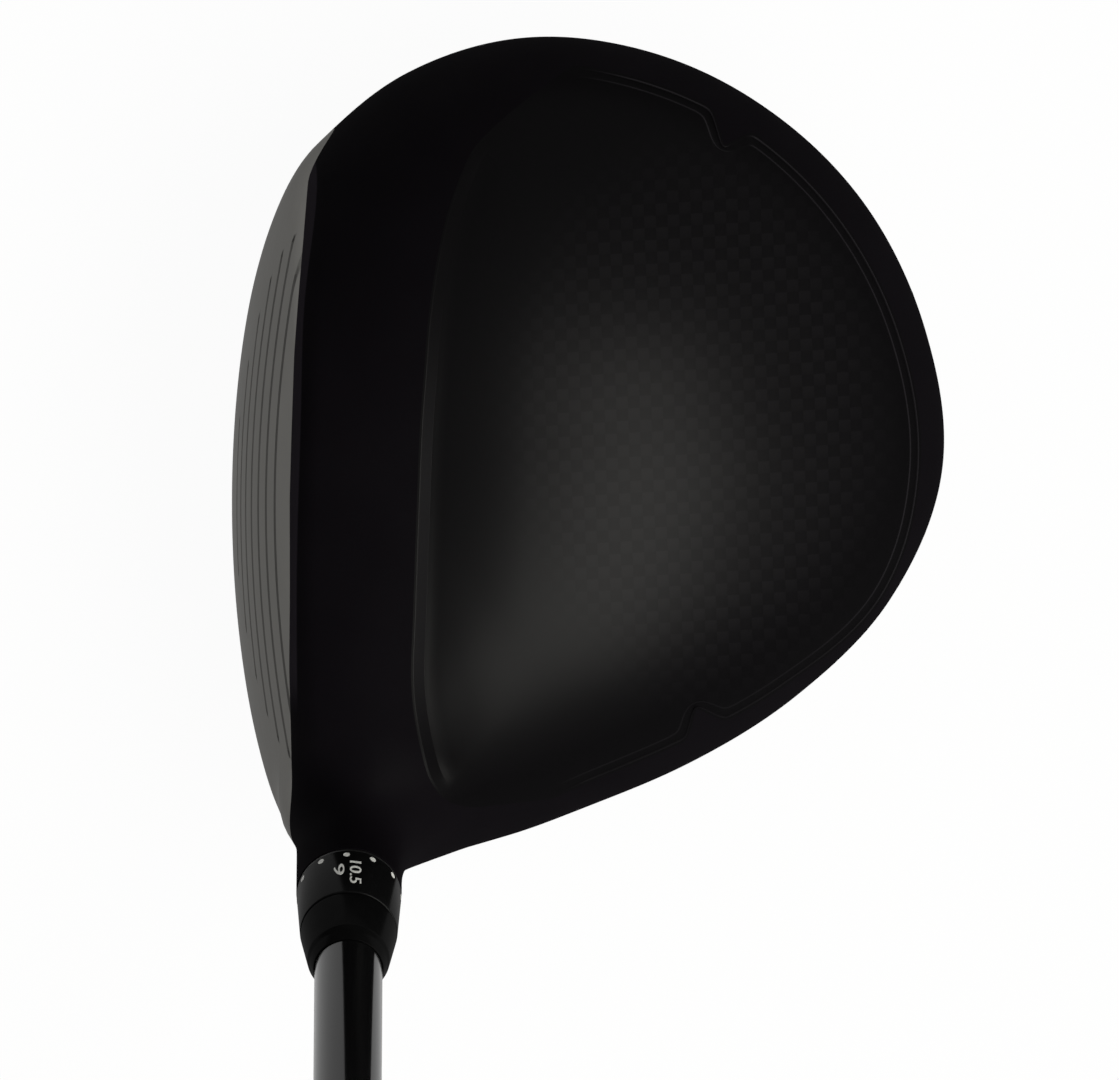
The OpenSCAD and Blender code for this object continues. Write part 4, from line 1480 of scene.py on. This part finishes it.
@dataclass
class Sleeve:
    """Adjustable sleeve with its ring, splines, setting dots and numbers.

    Spans of h are how far a print reaches below and above the cone. A number is its name, its digits, its
    place round the cone, where it starts along the axis, the height of a digit and its whole length.
    """

    stem_r: float = 5.75
    stem_l: float = 30.0
    foot_r: float = 7.25
    top_r: float = 6.75
    length: float = 10.0
    bore_r: float = 5.3
    thread_r: float = 2.55
    thread_l: float = 8.0
    ring_t: float = 0.6
    ring_gap: float = 0.06
    ring_inset: float = 0.1
    ring_play: float = 0.02
    dot_r: float = 0.46
    dot_w: float = 1.6
    dot_turn: float = -2.5
    dot_sides: int = 24
    dot_h: Pair = (-0.08, 0.03)
    dot_sharp: float = 30.0
    number_h: Pair = (-0.06, 0.09)
    number_sharp: float = 25.0
    letter_depth: float = 0.04
    cone_soft: float = 0.14
    ring_soft: float = 0.16
    numbers: tuple[tuple[str, str, float, float, float, float], ...] = (
        ("sleeve_number_long", "10.5", 0.15, 3.2, 1.6, 5.4),
        ("sleeve_number_short", "9", -2.1, 3.9, 1.5, 2.6),
    )
    positions: int = 12
    spline_w: float = 1.505
    spline_h: float = 0.5
    spline_sink: float = 0.15
    spline_bevel: float = 0.18
    spline_sharp: float = 20.0
    spline_span: Pair = (-5.5, -0.5)

    def _on_cone(self, s: Array, t: Array, h: Array) -> Array:
        """Points at a width and height on the cone's upper side, raised by h."""
        r = self.foot_r - (self.foot_r - self.top_r) * (t - self.ring_t) / self.length
        return around(np.array(PLACE.mouth), PLACE.hosel_dir, r + h, math.pi / 2 - s / r, t)

    def _dot(self) -> Piece:
        """One setting dot, laid on the cone."""
        turn = full_turn(self.dot_sides)
        s = self.foot_r * math.radians(self.dot_turn) + self.dot_r * np.cos(turn)
        t = self.dot_w + self.dot_r * np.sin(turn)
        points = np.concatenate([self._on_cone(s, t, h) for h in self.dot_h])
        return Solid(points, capped(2, self.dot_sides)).raise_object("dot_template", self.dot_sharp)

    def _tooth(self) -> Piece:
        """One spline tooth with eased tips."""
        half, root, tip = self.spline_w / 2, self.stem_r - self.spline_sink, self.stem_r + self.spline_h
        flank, shoulder = tip - self.spline_bevel, half - self.spline_bevel
        right = [(half, root), (half, flank), (shoulder, tip)]
        section = [(-half, root), *right, (-shoulder, tip), (-half, flank)]
        side = np.cross(PLACE.hosel_dir, ACROSS)
        rings = [
            [np.array(PLACE.mouth) + a * side + b * ACROSS + w * PLACE.hosel_dir for a, b in section]
            for w in self.spline_span
        ]
        faces = [face[::-1] for face in capped(2, len(section))]
        return Solid(np.array(rings).reshape(-1, 3), faces).raise_object("tooth_template", self.spline_sharp)

    def _number(self, name: str, text: str, s: float, t: float, height: float, run: float) -> Piece:
        """A plain number that reads up the sleeve.

        Args:
            name: Name of the piece.
            text: The digits.
            s: Place round the cone.
            t: Where the digits start along the axis.
            height: Height of a digit.
            run: Length of the whole number.

        Returns:
            The piece.
        """
        curve = bpy.data.curves.new(name, "FONT")
        curve.body = text
        curve.extrude = self.letter_depth
        letters = linked(name + "_curve", curve)
        graph = bpy.context.evaluated_depsgraph_get()
        flat = bpy.data.meshes.new_from_object(letters.evaluated_get(graph))
        co = read(flat.vertices, "co")
        share = (co - co.min(0)) / np.maximum(co.max(0) - co.min(0), 1e-6)
        below, above = self.number_h
        lift = np.where(co[:, 2] > 0, above, below)
        points = self._on_cone(s + height * share[:, 1], t + run * share[:, 0], lift)
        faces = [tuple(p.vertices)[::-1] for p in flat.polygons]
        bpy.data.objects.remove(letters)
        bpy.data.curves.remove(curve)
        bpy.data.meshes.remove(flat)
        return Solid(points, faces).raise_object(name, self.number_sharp)

    def build(self, wardrobe: Wardrobe, copies: Copies) -> None:
        """Builds and dresses the ring, the sleeve and what is on it."""
        mouth, axis = np.array(PLACE.mouth), PLACE.hosel_dir
        top, foot = self.ring_t + self.length, -self.stem_l
        cone = Turned("sleeve_skin", mouth, axis, [
            (self.thread_r, foot), (self.stem_r, foot), (self.stem_r, self.ring_t),
            (self.foot_r, self.ring_t), (self.top_r, top), (self.bore_r, top),
            (self.bore_r, foot + self.thread_l), (self.thread_r, foot + self.thread_l),
        ], self.cone_soft, square_top=(self.ring_t, self.length))
        wardrobe.wear(cone.build(), Style.SLEEVE, Body.SHAFT, "loft_sleeve")
        inner, outer = self.stem_r + self.ring_gap, self.foot_r - self.ring_inset
        low, high = self.ring_play, self.ring_t - self.ring_play
        section = [(inner, low), (outer, low), (outer, high), (inner, high)]
        ring = Turned("ring_skin", mouth, axis, section, self.ring_soft)
        wardrobe.wear(ring.build(), Style.RING, Body.RING, "compression_ring")
        for name, template, style in (
            ("sleeve_splines", self._tooth(), Style.SLEEVE), ("sleeve_dots", self._dot(), Style.INK),
        ):
            repeat = copies.build(
                name, template, wardrobe.materials[style], Rows=1, Columns=self.positions,
                Column_angle=2 * math.pi / self.positions, Axis=tuple(axis), Pivot=tuple(PLACE.metres(mouth)),
            )
            wardrobe.wear(repeat, style, Body.SHAFT)
        for number in self.numbers:
            wardrobe.wear(self._number(*number), Style.INK, Body.SHAFT)


@dataclass
class ShaftAndGrip:
    """Ferrule, shaft, grip and cap, all on the shaft's axis.

    Heights that end in v run along the shaft from its crossing with the hosel. mouth_bead holds the heights
    of the bead at the grip's mouth. A pip's rows are shares of its size with how far each stands out.
    """

    foot_v: float = PLACE.joint_v
    tip_r: float = 4.7
    tip_end_v: float = 79.2
    tip_wall: float = 1.8
    insert_l: float = 30.0
    butt_r: float = 7.62
    butt_wall: float = 1.0
    ferrule_gap: float = 0.05
    ferrule_foot_r: float = 6.65
    ferrule_foot_l: float = 0.5
    ferrule_r: float = 5.7
    ferrule_l: float = 6.9
    ferrule_lip: float = 2.3
    lip_inset: float = 0.35
    lip_ease: float = 0.7
    lip_edge: float = 0.15
    bore_r: float = 7.92
    grip_mouth_r: float = 8.82
    grip_r: float = 12.2
    mouth_bead: Triple = (1.0, 3.0, 4.0)
    bead_h: float = 0.25
    bead_sink: Pair = (0.1, 0.05)
    ferrule_soft: float = 0.18
    shaft_soft: float = 0.2
    grip_soft: float = 0.6
    cap_r: float = 13.4
    cap_t: float = 5.0
    cap_soft: float = 3.0
    cap_arc: int = 15
    cap_edge: float = 0.12
    cap_gap: float = 0.02
    cap_overlap: float = 0.2
    cap_groove_r: tuple[float, float, float, float] = (7.2, 6.9, 6.1, 5.8)
    cap_groove_depth: float = 0.4
    vent_r: float = 1.5
    pip_grid: tuple[int, int] = (52, 18)
    pip_pitch: float = 4.0
    pip_start: float = 22.0
    pip_size: Pair = (0.55, 1.25)
    pip_sink: float = 0.02
    pip_sides: int = 12
    pip_profile: tuple[Pair, ...] = ((1.0, -0.2), (0.86, 0.08), (0.55, 0.2), (0.2, 0.24))

    def _pip(self, r: float, v: float) -> Piece:
        """One low raised lozenge of the grip's pattern."""
        turn, (width, length) = full_turn(self.pip_sides), self.pip_size
        rows = []
        for share, h in self.pip_profile:
            s, t = width * share * np.cos(turn), v + length * share * np.sin(turn)
            rows.append(around(PLACE.cross, PLACE.shaft_dir, np.full(self.pip_sides, r + h), s / r, t))
        return Solid(np.concatenate(rows), capped(len(rows), self.pip_sides)).raise_object("pip_template")

    def _ferrule(self) -> list[Pair]:
        """Profile of the ferrule."""
        foot, lip, bore = self.foot_v, self.foot_v + self.ferrule_l, self.tip_r + self.ferrule_gap
        return [
            (bore, foot), (self.ferrule_foot_r, foot), (self.ferrule_foot_r, foot + self.ferrule_foot_l),
            (self.ferrule_r, lip), (self.ferrule_r - self.lip_inset, lip + self.lip_ease),
            (self.tip_r + self.lip_edge, lip + self.ferrule_lip), (bore, lip + self.ferrule_lip),
        ]

    def _shaft(self, grip_foot: float, end: float) -> list[Pair]:
        """Profile of the shaft, which is parallel at its tip and under the grip."""
        start, taper_end = self.foot_v - self.insert_l, grip_foot - 2 * self.cap_t
        tip_bore, butt_bore = self.tip_r - self.tip_wall, self.butt_r - self.butt_wall
        return [
            (tip_bore, start), (self.tip_r, start), (self.tip_r, self.tip_end_v), (self.butt_r, taper_end),
            (self.butt_r, end), (butt_bore, end), (butt_bore, taper_end), (tip_bore, self.tip_end_v),
        ]

    def _grip(self, grip_foot: float, flare: float, end: float) -> list[Pair]:
        """Profile of the grip, with a bead at its mouth."""
        low, high, past = (grip_foot + height for height in self.mouth_bead)
        before, after = (self.grip_mouth_r - sink for sink in self.bead_sink)
        bead = self.grip_mouth_r + self.bead_h
        return [
            (self.bore_r, grip_foot), (before, grip_foot), (bead, low), (bead, high), (after, past),
            (self.grip_r, flare), (self.cap_r - self.cap_overlap, end), (self.bore_r, end),
        ]

    def _cap(self, end: float) -> list[Pair]:
        """Profile of the cap, with a rounded rim and a groove round its vent."""
        soft, top, low = self.cap_soft, end + self.cap_t, end + self.cap_gap
        arc = [math.radians(a) for a in range(0, 91, self.cap_arc)]
        rim = [(self.cap_r - soft + soft * math.cos(a), top - soft + soft * math.sin(a)) for a in arc]
        depths = (0.0, self.cap_groove_depth, self.cap_groove_depth, 0.0)
        groove = [(r, top - depth) for r, depth in zip(self.cap_groove_r, depths)]
        return [(self.vent_r, low), (self.cap_r, low), *rim, *groove, (self.vent_r, top)]

    @staticmethod
    def _skin(name: str, profile: list[Pair], soften: float) -> Piece:
        """A piece that is turned about the shaft's axis."""
        return Turned(name, PLACE.cross, PLACE.shaft_dir, profile, soften).build()

    def _pattern(self, wardrobe: Wardrobe, copies: Copies, grip_foot: float, flare: float) -> Piece:
        """The grip's raised pattern, in staggered rows that follow its taper."""
        axis, (rows, columns) = PLACE.shaft_dir, self.pip_grid
        slope = (self.grip_r - self.grip_mouth_r) / (flare - grip_foot)
        r = self.grip_mouth_r + slope * self.pip_start - self.pip_sink
        turn = 2 * math.pi / columns
        pips = copies.build(
            "grip_pips", self._pip(r, grip_foot + self.pip_start), wardrobe.materials[Style.GRIP], Rows=rows,
            Columns=columns, Row_step=tuple(self.pip_pitch * MM * (axis + slope * ACROSS)), Column_angle=turn,
            Stagger=turn / 2, Axis=tuple(axis), Pivot=tuple(PLACE.metres(PLACE.cross)),
        )
        pips.data.shade_smooth()
        return pips

    def build(self, wardrobe: Wardrobe, copies: Copies) -> None:
        """Builds and dresses the four turned pieces and the grip's pattern."""
        end, grip_foot = PLACE.butt_v - self.cap_t, PLACE.butt_v - PLACE.grip_l
        flare = PLACE.butt_v - 4 * self.cap_t
        for piece, style, *nodes in (
            (self._skin("ferrule_skin", self._ferrule(), self.ferrule_soft), Style.FERRULE, "ferrule"),
            (self._skin("shaft_skin", self._shaft(grip_foot, end), self.shaft_soft), Style.SHAFT, "shaft"),
            (self._skin("grip_skin", self._grip(grip_foot, flare, end), self.grip_soft), Style.GRIP, "grip"),
            (self._pattern(wardrobe, copies, grip_foot, flare), Style.GRIP),
            (self._skin("cap_skin", self._cap(end), self.cap_edge), Style.GRIP, "grip_cap"),
        ):
            wardrobe.wear(piece, style, Body.SHAFT, *nodes)


@dataclass
class Studio:
    """Camera straight above the head, one softbox, a dim room and a pale floor."""

    frame_w: float = 155.4
    centre: Pair = (45.2, -4.86)
    plane_z: float = 26.0
    distance: float = 6000.0
    sensor: float = 36.0
    clip_end: float = 20.0
    box_turn: float = -33.2
    box_rise: float = 53.0
    box_roll: float = 31.9
    box_distance: float = 2.4
    box_size: Pair = (3.37, 1.07)
    box_watts: float = 75.8
    box_colour: Triple = (1.0, 0.995, 0.93)
    room_low: float = 0.096
    room_high: float = 0.208
    room_fade: Pair = (0.0, 0.75)
    floor_half: float = 3.0
    floor_gap: float = 0.0004
    floor_white: float = 0.96
    floor_tones: Pair = (0.8, 0.84)
    floor_grain: float = 40.0

    def camera(self) -> None:
        """Camera at the photograph's angle, with its frame."""
        data = bpy.data.cameras.new("camera")
        data.sensor_fit = "HORIZONTAL"
        data.sensor_width = self.sensor
        data.lens = self.sensor * self.distance / self.frame_w
        data.clip_end = self.clip_end
        camera = linked("camera", data)
        camera.location = Vector(PLACE.metres(np.array([*self.centre, self.plane_z + self.distance])))
        bpy.context.scene.camera = camera

    def floor(self) -> None:
        """Pale floor that camera and glossy rays see as near white, with a soft shadow."""
        x, y, z = PLACE.metres(np.array([*self.centre, 0.0]))
        half = self.floor_half
        signs = ((-1, -1), (1, -1), (1, 1), (-1, 1))
        corners = [(x + a * half, y + b * half, z - self.floor_gap) for a, b in signs]
        mesh = bpy.data.meshes.new("floor")
        mesh.from_pydata(corners, [], [(0, 1, 2, 3)])
        floor = linked("floor", mesh)
        g = Look("floor_look")
        rays = g.taps("ShaderNodeLightPath")
        seen = g.math("MAXIMUM", rays["Is Camera Ray"], rays["Is Glossy Ray"])
        seen = g.math("MAXIMUM", seen, rays["Is Transmission Ray"])
        low, high = ((tone, tone, tone) for tone in self.floor_tones)
        matt = g.node("ShaderNodeBsdfDiffuse", ("Color", g.mix(g.noise(self.floor_grain), low, high)))
        white = g.node("ShaderNodeEmission", ("Color", WHITE), ("Strength", 1.0))
        mixed = g.node("ShaderNodeMixShader", (0, seen * self.floor_white), (1, matt), (2, white))
        mesh.materials.append(g.ends_in(mixed))

    def softbox(self) -> None:
        """Long softbox whose reflection lies across the crown."""
        turn, rise, roll = (math.radians(a) for a in (self.box_turn, self.box_rise, self.box_roll))
        toward = np.array([math.cos(rise) * math.cos(turn), math.cos(rise) * math.sin(turn), math.sin(rise)])
        level_side = unit(np.cross(np.array([0.0, 0.0, 1.0]), toward))
        side = math.cos(roll) * level_side + math.sin(roll) * np.cross(toward, level_side)
        data = bpy.data.lights.new("softbox", "AREA")
        data.shape = "RECTANGLE"
        data.size, data.size_y = self.box_size
        data.energy, data.color = self.box_watts, self.box_colour
        box = linked("softbox", data)
        middle = PLACE.metres(np.array([*self.centre, self.plane_z]))
        box.location = Vector(middle) + self.box_distance * Vector(toward)
        box.rotation_euler = Matrix((side, np.cross(toward, side), toward)).transposed().to_euler()
        box.visible_camera = False

    def room(self) -> None:
        """World that is white to the camera and dim to everything else."""
        world = bpy.data.worlds.new("room")
        bpy.context.scene.world = world
        world.use_nodes = True
        g = Graph(world.node_tree)
        ray = g.node("ShaderNodeTexCoord", out="Generated")
        height = g.taps("ShaderNodeSeparateXYZ", ("Vector", ray))["Z"]
        level = height.ramp(*self.room_fade).span(self.room_low, self.room_high)
        rays = g.taps("ShaderNodeLightPath")
        seen = g.math("MAXIMUM", rays["Is Camera Ray"], rays["Is Transmission Ray"])
        back = g.node("ShaderNodeBackground", ("Color", WHITE), ("Strength", level + seen * (1.0 - level)))
        g.node("ShaderNodeOutputWorld", ("Surface", back))

    def build(self) -> None:
        """Sets up the whole studio."""
        bpy.context.scene.view_settings.view_transform = "Standard"
        self.camera()
        self.floor()
        self.softbox()
        self.room()


KEPT_NODES = {
    "hosel_tube": Style.TUBE, "spline_ring": Style.TUBE, "screw_washer": Style.WASHER,
    "screw_retainer": Style.RETAINER, "hosel_screw": Style.SCREW, "weight_port": Style.PORT,
    "rear_weight": Style.WEIGHT, "weight_bolt": Style.SCREW, "grip_tape": Style.TAPE,
}


def main() -> None:
    """Builds every piece and dresses it."""
    logging.basicConfig(level=logging.INFO, format="%(name)s: %(message)s")
    wardrobe = Wardrobe()
    copies = Copies()
    Studio().build()
    DriverHead().build(wardrobe)
    Sleeve().build(wardrobe, copies)
    ShaftAndGrip().build(wardrobe, copies)
    for node, style in KEPT_NODES.items():
        wardrobe.keep(node, style)


if __name__ == "__main__":
    main()
